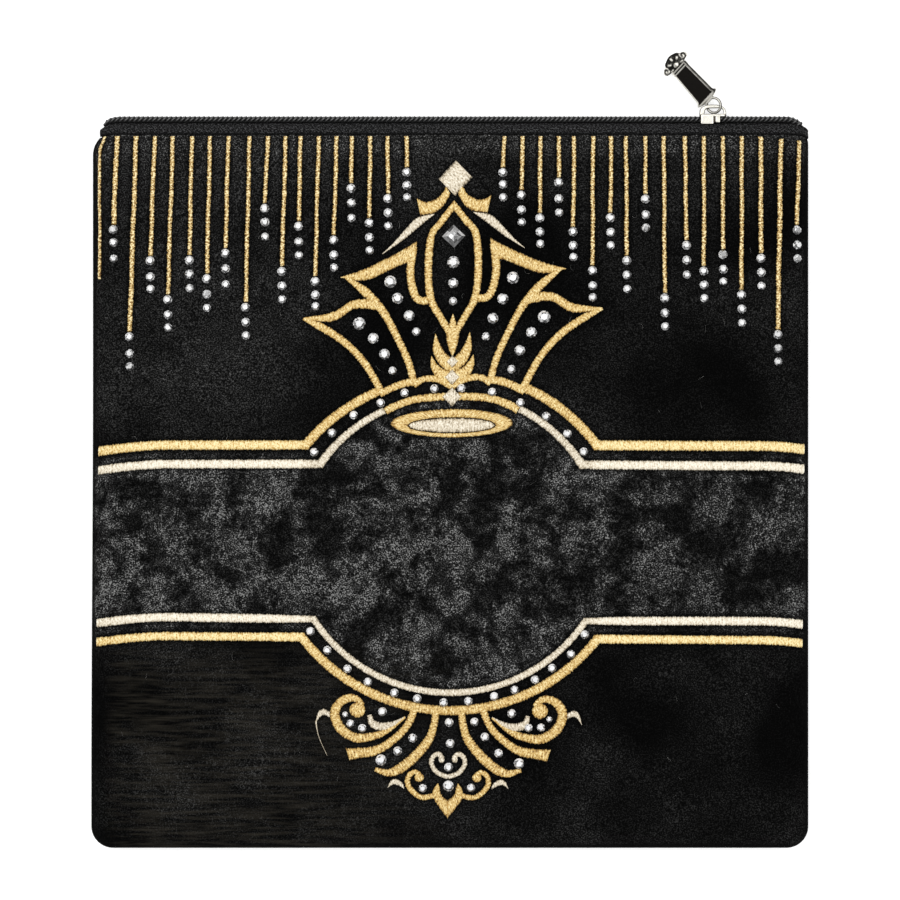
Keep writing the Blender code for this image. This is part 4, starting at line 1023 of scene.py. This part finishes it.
def build_front(velvet, relief, held):
    """The padded front: the pillow, less what its stitches press down, as two sheets WALL apart."""
    outer, inner = velvet_sheets(190)
    x, y = outer[..., 0], outer[..., 1]
    change = sampled(relief, x, y) * inside_fade(x, y)
    outer[..., 2] += change
    inner[..., 2] += change
    points, faces = wall_shell(outer, inner)
    marks = {word: np.concatenate([values.ravel()] * 2)
             for word, values in zip(VELVET_MARKS, front_marks(x, y, held))}
    made = piece("velvet_front", points, faces, velvet, "velvet", ["front_panel"], marks=marks)


def build_back(velvet):
    """The padded back: a flat pillow with soft puffs, which all go inwards."""
    outer, inner = velvet_sheets(90, back=True)
    x, y = outer[..., 0], outer[..., 1]
    puff = 0.35 * sampled(soft_waves(12.0), x, y) * inside_fade(x, y)
    outer[..., 2] += np.abs(puff)
    inner[..., 2] += np.abs(puff)
    points, faces = wall_shell(outer, inner, back=True)
    marks = {word: np.full(len(points), level) for word, level in zip(VELVET_MARKS, (0.25, 0.38, 0.0, 0.0))}
    made = piece("velvet_back", points, faces, velvet, "velvet", ["back_panel"], marks=marks)


def shouldered(points, left, right, raised, bent):
    """The zip's ends, standing out past the bag's rounded corners by left and right, and bent down there.

    Raised lifts it all to the teeth.
    """
    x = points[..., 0]
    moved = points.copy()
    moved[..., 0] = x - left * smooth_step(-x, 156, 172) + right * smooth_step(x, 158, 174)
    ends = 2.3 * smooth_step(-moved[..., 0], 165, 178) ** 1.5
    ends = ends + 1.5 * smooth_step(moved[..., 0], 167, 179) ** 1.5
    moved[..., 1] += raised - bent * ends
    return moved


def build_tapes(cloth):
    """Both halves of the zip's tape, curved down from the seam to the teeth."""
    sides = stations(FLAT_X, 150, TAPE_LEFT_TURN, TAPE_RIGHT_TURN, 6)
    start = SEAM_TURN + 0.3 / EDGE
    steps = 14
    length = [(FLAT_Y, start + (TAPE_END_TURN - start) * k / steps) for k in range(steps + 1)]
    up = np.linspace(0, 1, steps + 1)[:, None]
    shape = (3.6 + 1.4 * np.sin(np.pi * up), 1.3 + 2.6 * up, 1.5 * up ** 3, up ** 2)
    for name, back in (("zip_tape_front", False), ("zip_tape_back", True)):
        outer = shouldered(pillow(sides, length, TAPE_DROP, back), *shape)
        inner = shouldered(pillow(sides, length, TAPE_DROP + TAPE_THICK, back), *shape)
        points, faces = wall_shell(outer, inner, back)
        around = np.broadcast_to(np.array([EDGE * turn for _, turn in length])[:, None], outer.shape[:2])
        uv = np.stack([outer[..., 0], around], axis=-1).reshape(-1, 2)
        # painted shade: darker by the seam and by the teeth, lighter between
        unshaded_rows = (0.25 + 0.75 * smooth_step(up, 0.0, 0.22)) * (1 - 0.5 * smooth_step(up, 0.72, 0.95))
        unshaded_rows = np.broadcast_to(unshaded_rows, outer.shape[:2])
        piece(name + "_cloth", points, faces, cloth, "zip_tape", [name], uv=np.concatenate([uv, uv]),
              marks=dict(open=np.concatenate([unshaded_rows.ravel()] * 2)))


def along_path(path, step):
    """The path again, with its points a step apart."""
    run = run_along(path)
    at = np.linspace(0, run[-1], int(run[-1] / step) + 1)
    return at_runs(path, run, at), at


def build_coils(nylon):
    """Each half of the teeth: a strand wound round a cord, one turn every COIL_PITCH."""
    places = sorted(set(stations(FLAT_X, 140, COIL_LEFT_TURN, COIL_RIGHT_TURN, 8)))
    path = pillow(places, [(FLAT_Y, QUARTER)], inset=-COIL_OUT)[0]
    path = shouldered(path, left=3.8, right=0.2, raised=0.0, bent=1.0)
    for name, side in (("zip_coil_front", 1), ("zip_coil_back", -1)):
        x = path[:, 0]
        apart = PARTING * smooth_step(x, SLIDER_LEFT, SLIDER_LEFT + 5)
        apart = apart * (1 - 0.6 * smooth_step(x, 136.6, 152))
        core = np.stack([x, path[:, 1], ZIP_Z + side * (COIL_Z + apart)], axis=-1)
        fine, at = along_path(core, COIL_PITCH / STEPS_PER_TURN)
        turn = -2 * np.pi * at / COIL_PITCH + (0 if side > 0 else math.pi)
        wound = fine + np.stack([COIL_SLANT * np.cos(turn), (COIL_WIDE - COIL_STRAND) * np.cos(turn),
                                 (COIL_HIGH - COIL_STRAND) * np.sin(turn)], axis=-1)
        wound_points, wound_faces = tube(wound, round_profile(COIL_STRAND, COIL_STRAND, 8), lean=(1, 0, 0))
        cord_points, cord_faces = tube(core, round_profile(COIL_WIDE - 1.1, COIL_HIGH - 0.8, 8))
        # painted highlight: paler where the strand's surface faces outwards from the cord
        crest = wound_points.reshape(len(turn), 8, 3) - wound[:, None]
        outward = wound - fine
        outward /= np.linalg.norm(outward, axis=1)[:, None]
        stands_up = np.clip(np.sum(crest * outward[:, None], axis=2) / COIL_STRAND, 0, 1).ravel() ** 2
        points, faces, crest_highlight = joined([(wound_points, wound_faces, stands_up[:, None]),
                                      (cord_points, cord_faces, np.zeros((len(cord_points), 1)))])
        piece(name + "_wound", points, faces, nylon, "zip_coil", [name], marks=dict(crest_highlight=crest_highlight))


def build_coil_sewing(thread):
    """The row of stitches that holds each coil to its tape: a thread that thickens at every stitch."""
    places = sorted(set(stations(FLAT_X, 500, TAPE_LEFT_TURN, TAPE_RIGHT_TURN, 16)))
    path = pillow(places, [(FLAT_Y, QUARTER)], inset=0.2)[0]
    path = shouldered(path, left=3.6, right=3.0, raised=1.35, bent=1.0)
    for name, side in (("coil_sewing_front", 1), ("coil_sewing_back", -1)):
        line = path.copy()
        line[:, 2] = ZIP_Z + side * SEWING_Z
        thick = 0.42 + 0.09 * np.cos(2 * np.pi * line[:, 0] / COIL_PITCH)
        profile = round_profile(1.0, 1.0, 6)[None] * thick[:, None, None]
        piece(name, *tube(line, profile), thread, "zip_tape")


TOPSTITCH_REACH, TOPSTITCH_PITCH, TOPSTITCH_Y = 172, 3.1, 175.9


def build_topstitch(thread, relief):
    """Black stitches 2.6 mm long, a little below the seam, as short rounded beads of thread.

    Each bead is six rings of six points, thicker in the middle than at its ends.
    """
    x = np.arange(-TOPSTITCH_REACH, TOPSTITCH_REACH + 1, TOPSTITCH_PITCH)
    turn = full_turn(6)
    along = np.array([-1.3, -1.1, -0.5, 0.5, 1.1, 1.3])
    thick = np.array([0.08, 0.2, 0.26, 0.26, 0.2, 0.08])
    plan_x = np.broadcast_to(x[:, None, None] + along[None, :, None], (len(x), 6, 6))
    plan_y = np.broadcast_to(TOPSTITCH_Y + thick[:, None] * np.cos(turn), plan_x.shape)
    lift = np.broadcast_to(0.12 + thick[:, None] * np.sin(turn), plan_x.shape)
    points = lifted(np.stack([plan_x, plan_y], axis=-1), lift, relief)
    body, *caps = capped_faces(6, 6)
    first = (36 * np.arange(len(x)))[:, None, None]
    faces = [(group[None] + first).reshape(-1, group.shape[1]) for group in (body, np.concatenate(caps))]
    piece("seam_topstitch", points.reshape(-1, 3), faces, thread, "zip_tape")


# Slider and pull

def superellipsoid(low, high, power=5.0, steps=16):
    """A block with rounded edges: each of its round directions is raised to 2 / power."""
    low, high = np.asarray(low, float), np.asarray(high, float)
    tilt = np.linspace(-QUARTER, QUARTER, steps + 1)[1:-1, None]
    turn = full_turn(2 * steps)[None, :]

    def squared(value):
        return np.sign(value) * np.abs(value) ** (2 / power)

    level, rise = squared(np.cos(tilt)), squared(np.sin(tilt))
    unit = np.stack([level * squared(np.cos(turn)), level * squared(np.sin(turn)), rise + 0 * turn], axis=-1)
    points = (low + high) / 2 + unit * (high - low) / 2
    return points.reshape(-1, 3), capped_faces(*points.shape[:2])


# The slider's plates on each side of the teeth: low and high corner in plan, depths from the teeth's middle,
# how square they are, and how dark; the third, in the gap between the other two, is dark with painted shadow
SLIDER_PLATES = (((125.7, 183.5), (132.5, 188.7), (3.75, 4.95), 6.0, 0.0),
                 ((133.2, 184.3), (135.6, 188.6), (3.65, 4.75), 5.0, 0.0),
                 ((131.6, 184.6), (134.6, 188.4), (3.6, 4.5), 6.0, 0.9))
BRIDGE_FOOT_Y, BRIDGE_MIDDLE_X, BRIDGE_HALF, BRIDGE_OUTWARD = 187.9, 132.45, 5.55, 0.22


def slider_bridge():
    """The bar that the pull hangs in: a rounded rectangle's upper half, slimmer to the right.

    It has painted shade at the profile's two sides and is bright on its front and back.
    """
    angle = np.linspace(math.pi, 0, 49)
    share = 2 / 3.5
    half = BRIDGE_HALF + BRIDGE_OUTWARD
    x = BRIDGE_MIDDLE_X + half * np.sign(np.cos(angle)) * np.abs(np.cos(angle)) ** share
    y = BRIDGE_FOOT_Y + (BRIDGE_Y + BRIDGE_OUTWARD - BRIDGE_FOOT_Y) * np.sin(angle) ** share
    path = np.stack([x, y, np.full_like(x, ZIP_Z)], axis=-1)
    thick = 0.95 + 0.35 * smooth_step(angle, 2.0, 2.8) - 0.3 * smooth_step(-angle, -1.5, -1.0)
    size = np.stack([thick, np.full_like(thick, 0.65)], axis=-1)
    points, faces = tube(path, round_profile(1.0, 1.0, 14, 3.0)[None] * size[:, None])
    # painted shade on the profile's two sides
    return points, faces, np.tile(np.abs(np.cos(full_turn(14))) ** 2, len(path))[:, None]


def build_slider(metal):
    """Body, its plates on each side of the teeth, and the broad arched bridge that carries the pull."""
    parts = []

    def add(points, faces, low=0.0):
        """A plate with painted shade all round its edge, and as dark as low inside."""
        middle = (points.max(axis=0) + points.min(axis=0)) / 2
        reach = np.abs(points - middle) / (points.max(axis=0) - middle)
        plate = np.sort(reach[:, :2], axis=1)[:, 1]
        # painted shade all round the plate's edge
        parts.append((points, faces, np.maximum(low, 0.95 * smooth_step(plate, 0.82, 0.96))[:, None]))

    add(*superellipsoid((125.7, 187.3, ZIP_Z - 4.9), (138.8, 188.75, ZIP_Z + 4.9), 7.0))
    for side in (-1, 1):
        for low_corner, high_corner, depths, power, patina_and_shade in SLIDER_PLATES:
            near, far = sorted(ZIP_Z + side * depth for depth in depths)
            add(*superellipsoid((*low_corner, near), (*high_corner, far), power), low=patina_and_shade)
    add(*superellipsoid((132.6, 180.8, ZIP_Z - 0.8), (135.6, 188.4, ZIP_Z + 0.8), 5.0), low=0.3)
    add(*superellipsoid((126.6, 180.4, ZIP_Z - 3.0), (137.2, 181.6, ZIP_Z + 3.0), 6.0), low=0.3)
    parts.append(slider_bridge())
    points, faces, low = joined(parts)
    piece("slider_cast", points, faces, metal, "metal", ["zip_slider"], marks=dict(low=low))


def pull_frame():
    """The pull's own frame: its middle, and its directions along the tag, to its left and out of its face."""
    flat = np.array([math.cos(PULL_HEADING), math.sin(PULL_HEADING), 0])
    up = np.array([0, 0, 1.0])
    along = flat * math.cos(PULL_DROOP) - up * math.sin(PULL_DROOP)
    level = np.cross(up, flat)
    face = np.cross(along, level)
    left = level * math.cos(PULL_ROLL) - face * math.sin(PULL_ROLL)
    face = np.cross(along, left)
    ahead = np.array([RING_ASIDE, RING_AHEAD, 0])
    return HINGE + ahead - face * (ahead @ face), np.array([along, left, face])


# Half widths along the tag and its lobed end, from the ring
TAG_OUTLINE = np.array([
    (2.9, 1.5), (3.2, 2.4), (3.7, 3.4), (4.2, 5.0), (4.8, 5.75), (5.5, 5.9), (6.1, 5.6), (6.9, 5.5),
    (TAG_END - 3.2, TAG_HALF_END + 0.4), (TAG_END - 2.8, TAG_HALF_END + 0.55),
    (TAG_END - 0.6, TAG_HALF_END + 0.55), (TAG_END - 0.3, TAG_HALF_END),
    (TAG_END + 0.2, 5.6), (TAG_END + 0.6, 7.6), (TAG_END + 1.6, 8.3), (TAG_END + 2.8, 8.1),
    (TAG_END + 3.6, 6.9), (TAG_END + 3.9, 5.4), (TAG_END + 4.7, 5.0), (TAG_END + 5.5, 4.4),
    (TAG_END + 6.0, 3.2), (TAG_END + 6.3, 2.3), (LOBE_REACH - 0.1, 1.5), (LOBE_REACH, 0.7)])


def pull_ring():
    """A squared bar bent to a circle, with painted shade at its inner and outer sides."""
    turns = full_turn(64)
    circle = np.stack([RING_MEAN * np.cos(turns), RING_MEAN * np.sin(turns), 0 * turns], axis=-1)
    points, faces = tube(circle, round_profile(RING_BAR + 0.03, RING_BAR - 0.07, 12, 2.6), closed=True)
    # painted shade on the ring's inner and outer sides
    return points, faces, np.tile(np.abs(np.cos(full_turn(12))) ** 1.2, len(turns))[:, None]


def lobe_relief(a, across):
    """One where the lobed end is high: petals round a boss in its middle, and a spiral curl on each side."""
    past = a - TAG_END
    far, turn = np.hypot(past - 1.0, across), np.arctan2(across, past - 1.0)
    petals = np.clip(np.cos(7 * turn), 0, 1) * smooth_step(np.abs(far - 3.6), 1.5, 0.4)
    petals = petals + smooth_step(far, 1.6, 0.9)
    beside = np.abs(across) - 6.0
    curl = 0.5 + 0.5 * np.cos(3.4 * np.hypot(past - 2.0, beside) - np.arctan2(beside, past - 2.0))
    return np.clip(np.maximum(petals, curl * smooth_step(np.abs(across), 4.2, 5.0)), 0, 1)


def pull_tag():
    """Tag and lobed end, as heights over a plan whose rows run across it, with a plain back.

    The rims, the end at the ring and two cross bars stand 0.5 above the plain field. A place is dark
    where it is low, as patina in the hollows; it has painted shade along the rim on the shaded side, and
    a little on the back.
    """
    half = TAG_THICK / 2
    a = np.unique(np.concatenate([np.linspace(TAG_OUTLINE[0, 0], LOBE_REACH, 150), TAG_OUTLINE[:, 0]]))
    wide = np.interp(a, TAG_OUTLINE[:, 0], TAG_OUTLINE[:, 1])[:, None]
    across = wide * -np.cos(np.linspace(0, math.pi, TAG_COLUMNS))[None, :]
    a = a[:, None]
    shaded_side = across < 0
    edge = wide - np.abs(across)
    groove = np.exp(-((edge - 0.85) / 0.22) ** 2) * shaded_side
    rim = np.where(shaded_side, smooth_step(edge, 1.5, 1.1), smooth_step(edge, 0.95, 0.6)) - 0.8 * groove
    across = across * (1 + 0.15 * np.exp(-((a - 5.0) / 1.2) ** 2) * shaded_side)
    start = smooth_step(a, 5.5, 5.0)
    bars = np.exp(-((a - TAG_END + 2.45) / 0.42) ** 4) + np.exp(-((a - TAG_END + 0.95) / 0.42) ** 4)
    stands = np.clip(np.maximum(np.maximum(rim, start), bars), 0, 1)
    on_lobes = smooth_step(a, TAG_END - 0.5, TAG_END + 0.2)
    cast = lobe_relief(a, across)
    height = (half - 0.5 + 0.5 * stands) * (1 - on_lobes) + (half - 0.35 + 0.75 * cast) * on_lobes
    ring_end = smooth_step(a, 4.6, 3.6)
    height = height * (1 - ring_end) + 0.55 * ring_end
    round_edge = np.sqrt(np.clip(edge / 0.45, 0, 1))
    top = height * (0.55 + 0.45 * round_edge)
    bottom = -(half - 0.1) * (0.6 + 0.4 * round_edge) * (1 - 0.4 * ring_end)
    low = (1 - stands) * (1 - on_lobes) + on_lobes * smooth_step(cast, 0.75, 0.2) * 0.86
    shaded = (0.3 + 0.7 * smooth_step(edge, 0.55, 0.25)) * smooth_step(edge, 1.6, 1.3) * shaded_side
    low = np.maximum(low, shaded * (1 - on_lobes)) * (1 - ring_end)
    z = np.concatenate([top[:, ::-1], bottom], axis=1)
    z[:, [0, TAG_COLUMNS - 1, TAG_COLUMNS, 2 * TAG_COLUMNS - 1]] *= 0.8
    local = np.stack([np.broadcast_to(a, z.shape), np.concatenate([-across, across], axis=1), z], axis=-1)
    # the back is a little darker: painted shade under the tag
    low = np.concatenate([low[:, ::-1], np.full_like(low, 0.25)], axis=1)
    return local.reshape(-1, 3), capped_faces(*z.shape), low.reshape(-1, 1)


def build_pull(metal):
    """Ring, tag with raised rims round a plain dark field, two cross bars and a lobed end, in one casting."""
    middle, axes = pull_frame()
    points, faces, low = joined([pull_ring(), pull_tag()])
    piece("pull_cast", middle + points @ axes, faces, metal, "metal", ["zip_pull"], body="pull",
          marks=dict(low=low))


# Rhinestones

def brilliant():
    """A cut stone one across and one high: foot, girdle, eight star points and its table's eight corners."""
    def circle(count, radius, up, ahead=0.0):
        angle = full_turn(count, ahead)
        return np.stack([radius * np.cos(angle), radius * np.sin(angle), np.full(count, up)], axis=-1)

    points = np.concatenate([circle(16, 0.45, 0.0), circle(16, 0.5, 0.28), circle(8, 0.39, 0.72),
                             circle(8, 0.26, 1.0, 0.5)])
    girdle, star, table = 16, 32, 40
    k = np.arange(8)
    after = (k + 1) % 8
    even, odd, last = girdle + 2 * k, girdle + 2 * k + 1, girdle + (2 * k + 2) % 16
    triangles = np.concatenate([np.stack(corners, axis=-1) for corners in (
        (even, odd, star + k), (odd, last, star + after), (odd, star + after, star + k),
        (star + k, star + after, table + k), (table + k, star + after, table + after))])
    ring = np.arange(16)
    sides = np.stack([ring, (ring + 1) % 16, (ring + 1) % 16 + girdle, ring + girdle], axis=-1)
    return points, [triangles, sides, np.arange(16)[None, ::-1], (table + k)[None, :]]


def princess():
    """A square stone: foot, girdle, two rows of facets and a table, its corners on the axes 0.7 out."""
    rows = []
    angle = full_turn(8)
    for radius, up in ((0.64, 0.0), (0.7, 0.25), (0.49, 0.65), (0.31, 1.0)):
        reach = radius * np.where(np.arange(8) % 2 == 0, 1.0, math.cos(QUARTER / 2))
        rows.append(np.stack([reach * np.cos(angle), reach * np.sin(angle), np.full(8, up)], axis=-1))
    ring = np.arange(8)
    quads = np.concatenate([np.stack([ring, (ring + 1) % 8, (ring + 1) % 8 + 8, ring + 8], axis=-1) + 8 * row
                            for row in range(3)])
    triangles = np.stack([ring + 24, (ring + 1) % 8 + 24, np.full(8, 32)], axis=-1)
    points = np.concatenate(rows + [np.array([[0, 0, 1.02]])])
    return points, [triangles, quads, ring[None, ::-1]]


def build_stones(name, shape, places, finish, relief, replaces=(), turn=None, shade=0.69, swing=0.42):
    """One mesh of many stones, each turned, tilted and lit by chance; places has x, y and width for each.

    A facet is bright where it looks to the upper left, darker to the lower right, with chance added.
    """
    template, faces = shape
    x, y, width = np.asarray(places, float).T
    count, corners = len(x), len(template)
    spin = CHANCE.random(count) * 2 * np.pi if turn is None else np.full(count, turn)
    tilt = CHANCE.normal(0, 0.05, (count, 2))
    c, s = np.cos(spin)[:, None], np.sin(spin)[:, None]
    flat_x = (template[None, :, 0] * c - template[None, :, 1] * s) * width[:, None]
    flat_y = (template[None, :, 0] * s + template[None, :, 1] * c) * width[:, None]
    height = np.clip(0.42 * width, 1.4, 2.1)[:, None] * template[None, :, 2]
    slope = flat_x * tilt[:, :1] + flat_y * tilt[:, 1:]
    lean_x, lean_y = (lean[:, None] for lean in velvet_slopes(x, y, relief, 2.0))
    ground = velvet_height(x, y, relief)[:, None] + flat_x * lean_x + flat_y * lean_y
    points = np.stack([x[:, None] + flat_x - height * lean_x, y[:, None] + flat_y - height * lean_y,
                       ground + 0.3 + height + slope], axis=-1)
    every, shades = [], []
    for group in faces:
        centre = template[group].mean(axis=1)
        facing = np.arctan2(centre[:, 1], centre[:, 0])[None, :] + spin[:, None]
        slant = np.linalg.norm(centre[:, :2], axis=1)[None, :]
        # painted reflections: each facet's brightness, lighter to the upper left, is kept in its colour
        lit = shade + swing * np.cos(facing - math.radians(120)) + CHANCE.normal(0, 0.30, (count, len(group)))
        lit = np.where(CHANCE.random((count, len(group))) < 0.14, 0.15 * lit, lit)
        lit = np.where(slant < 0.1, 0.86 - 0.4 * (CHANCE.random((count, len(group))) < 0.03), lit)
        # painted shade: stones near the sides darker, and the girdle and foot dark
        lit = lit - 0.35 * smooth_step(np.abs(x), 156, 163)[:, None] * CHANCE.random((count, len(group)))
        lit = np.where((centre[:, 2] < 0.2)[None, :], 0.25, lit)
        every.append((group[None] + corners * np.arange(count)[:, None, None]).reshape(-1, group.shape[1]))
        shades.append(np.clip(lit, 0.06, 1.0).ravel())
    piece(name, points.reshape(-1, 3), every, finish, "crystal", replaces,
          marks=dict(facet=np.concatenate(shades)), smooth=False, kind="FACE")


def drop_places():
    """Three stones under each stripe, each smaller than the one above."""
    return [(end_x + shift, first - drop, width) for _, end_x, first, second, third in STRIPES
            for drop, width, shift in ((0.0, 4.55, -0.1), (second, 4.5, 0.05), (third, 4.15, 0.15))]


BORDER_STONES = ((-67.9, 18.9), (-59.0, 28.5), (-48.1, 37.4), (-34.7, 43.5), (-22.7, 48.6), (-7.8, 50.7),
                 (5.7, 50.9), (21.1, 49.0), (35.2, 43.7), (48.1, 36.9), (58.7, 28.2), (66.9, 19.2),
                 (-69.8, -70.3), (-61.3, -79.7), (-51.3, -89.0), (-41.1, -95.6), (-27.8, -101.1),
                 (-16.4, -104.0), (-3.2, -105.9), (9.2, -105.2), (22.1, -102.8), (32.4, -99.6),
                 (42.5, -94.5), (51.1, -88.7), (60.4, -81.8), (67.4, -72.0))
LOWER_STONES_DOWN = 0.35     # how much further down the stones of the lower bow and the palmette sit


def border_places():
    """The stones that follow the gold lines round both bows."""
    return [(x, y - LOWER_STONES_DOWN * (y < 0), 4.3) for x, y in BORDER_STONES]


PALMETTE_STONES = ((-52.4, -111.9, 3.0), (-49.8, -116.4, 4.0), (-43.9, -118.8, 4.3), (-33.8, -110.5, 4.4),
                   (-18.6, -123.7, 4.5), (-26.2, -130.2, 4.5), (-34.5, -134.7, 5.5), (-13.6, -148.8, 4.2),
                   (49.6, -114.3, 3.0), (45.5, -118.4, 4.1), (39.3, -118.6, 4.2), (30.9, -111.4, 4.4),
                   (17.4, -123.1, 4.3), (24.3, -131.3, 4.4), (34.5, -136.4, 5.3), (10.5, -148.6, 4.2),
                   (12.3, -115.6, 4.3), (-0.4, -115.9, 4.4), (0.1, -126.4, 4.5), (-0.7, -138.3, 4.5),
                   (-0.8, -147.7, 5.5))


def crown_places(nodes):
    """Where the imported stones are, from their boxes."""
    places = []
    for node in nodes:
        low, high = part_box(node)
        places.append(((low.x + high.x) / 2 / MM, (low.y + high.y) / 2 / MM, (high.x - low.x) / MM))
    return places


def build_lint(finish, relief, count=150):
    """Loose fibres on the pile: thin three-sided tubes along short curved lines, thrown by chance."""
    parts = []
    for _ in range(count):
        x, y = CHANCE.uniform(-165, 165), CHANCE.uniform(-165, 168)
        heading, bend = CHANCE.uniform(0, 2 * np.pi), CHANCE.normal(0, 0.8)
        share = np.linspace(-0.5, 0.5, 6)
        length = CHANCE.uniform(1.0, 4.5)
        way = heading + bend * share
        plan = np.stack([x + length * share * np.cos(way), y + length * share * np.sin(way)], axis=-1)
        path = lifted(plan, 0.16 + 0.12 * np.sin(share * 9 + heading), relief)
        points, faces = tube(path, round_profile(0.045, 0.045, 3))
        parts.append((points, faces, points))
    points, faces, _ = joined(parts)
    piece("lint_fibres", points, faces, finish, "velvet")


# Light, floor and camera

def area_light(name, place, size, watts):
    """A rectangular lamp at a place in metres, turned to the middle of the bag."""
    light = bpy.data.lights.new(name, "AREA")
    light.shape = "RECTANGLE"
    light.size, light.size_y = size
    light.energy = watts
    made = bpy.data.objects.new(name, light)
    made.location = place
    made.rotation_euler = (-Vector(place)).to_track_quat("-Z", "Y").to_euler()
    bpy.context.scene.collection.objects.link(made)


def build_stage():
    """A white floor just under the bag, a sky that is brighter above, two lamps and a camera overhead."""
    mesh = bpy.data.meshes.new("floor")
    reach, low = 3.0, -0.0001
    corners = [(-reach, -reach, low), (reach, -reach, low), (reach, reach, low), (-reach, reach, low)]
    mesh.from_pydata(corners, [], [(0, 1, 2, 3)])
    floor = bpy.data.objects.new("floor", mesh)
    bpy.context.scene.collection.objects.link(floor)
    mesh.materials.append(floor_finish())
    world = bpy.data.worlds.new("studio")
    bpy.context.scene.world = world
    world.use_nodes = True
    tree = world.node_tree
    way = tree.nodes.new("ShaderNodeTexCoord")
    parts = tree.nodes.new("ShaderNodeSeparateXYZ")
    rise = tree.nodes.new("ShaderNodeMapRange")
    rise.inputs["To Min"].default_value, rise.inputs["To Max"].default_value = 0.3, 1.05
    tree.links.new(way.outputs["Generated"], parts.inputs["Vector"])
    tree.links.new(parts.outputs["Z"], rise.inputs["Value"])
    tree.links.new(rise.outputs["Result"], tree.nodes["Background"].inputs["Strength"])
    tree.nodes["Background"].inputs["Color"].default_value = (1.0, 1.0, 1.0, 1.0)
    area_light("window", (-0.8, 0.7, 2.1), (1.8, 1.8), 17)
    area_light("fill", (1.1, -0.2, 2.0), (1.6, 1.6), 9)
    camera = bpy.data.cameras.new("camera")
    camera.lens, camera.sensor_width = 200.0, 36.0
    camera.clip_start, camera.clip_end = 0.1, 20.0
    made = bpy.data.objects.new("camera", camera)
    made.location = (0.0, 0.020, 2.524)
    bpy.context.scene.collection.objects.link(made)
    bpy.context.scene.camera = made
    bpy.context.scene.view_settings.view_transform = "Standard"


def main():
    """Every piece in turn; the order of the calls sets what chance gives each of them."""
    build_effects()
    shades = (grey(0.0012), (0.061, 0.061, 0.060), (0.24, 0.24, 0.235), (0.06, 0.053, 0.041))
    velvet = velvet_finish("crushed_velvet", *shades, 62.0)
    back_velvet = velvet_finish("plain_velvet", *shades, 40.0)
    gold = ((0.15, 0.06, 0.01), (0.64, 0.41, 0.112), (0.98, 0.835, 0.45))
    cream = ((0.17, 0.13, 0.075), (0.65, 0.56, 0.41), (0.97, 0.905, 0.76))
    metallic = ((0.10, 0.042, 0.006), (0.54, 0.335, 0.085), (1.0, 0.87, 0.51))
    threads = dict(gold=thread_finish("gold_satin", *gold, 0.42, 0.5),
                   cream=thread_finish("cream_satin", *cream, 0.45, 0.5),
                   stripe=thread_finish("gold_metallic", *metallic, 0.38, 0.95, 0.1))
    slots = dict(gold="gold_thread", cream="cream_thread", stripe="gold_thread")
    found, gems = draw_everything()
    held = pressed_field(found)
    relief = -0.8 * blurred(held, 2.2) + 0.3 * soft_waves(15.0) + 0.12 * soft_waves(5.0)
    build_front(velvet, relief, held)
    build_back(back_velvet)
    for node, thread, plans in found:
        points, faces, extra = joined([satin_mesh(drawn, relief) for drawn in plans])
        piece(node + "_satin", points, faces, threads[thread], slots[thread], [node], uv=extra[:, :2],
              marks=dict(tone=extra[:, 2]))
    for name, drawn in gems:
        points, faces, extra = satin_mesh(drawn, relief, base=1.0, high=0.9)
        piece(name + "_satin", points, faces, threads["cream"], "cream_thread", [name], uv=extra[:, :2],
              marks=dict(tone=extra[:, 2]))
    build_tapes(tape_finish())
    nylon = nylon_finish()
    build_coils(nylon)
    sewing = matt_thread_finish()
    build_coil_sewing(sewing)
    build_topstitch(sewing, relief)
    build_slider(metal_finish("warm_nickel", (0.66, 0.64, 0.575), (0.07, 0.06, 0.05), 0.18))
    build_pull(metal_finish("antique_silver", (0.66, 0.64, 0.58), (0.012, 0.011, 0.010), 0.22))
    crystal = crystal_finish()
    nodes = [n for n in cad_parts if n.startswith("stone_") and n != "stone_square"]
    build_stones("crown_stones", brilliant(), crown_places(nodes), crystal, relief, nodes)
    x, y, width = crown_places(["stone_square"])[0]
    build_stones("square_stone", princess(), [(x, y, width / 1.4)], crystal, relief, ["stone_square"],
                 turn=0.03, shade=0.5, swing=0.4)
    build_stones("drop_stones", brilliant(), drop_places(), crystal, relief)
    build_stones("border_stones", brilliant(), border_places(), crystal, relief)
    lower = [(x, y - LOWER_STONES_DOWN, width) for x, y, width in PALMETTE_STONES]
    build_stones("palmette_stones", brilliant(), lower, crystal, relief)
    build_lint(lint_finish(), relief)
    build_stage()


main()
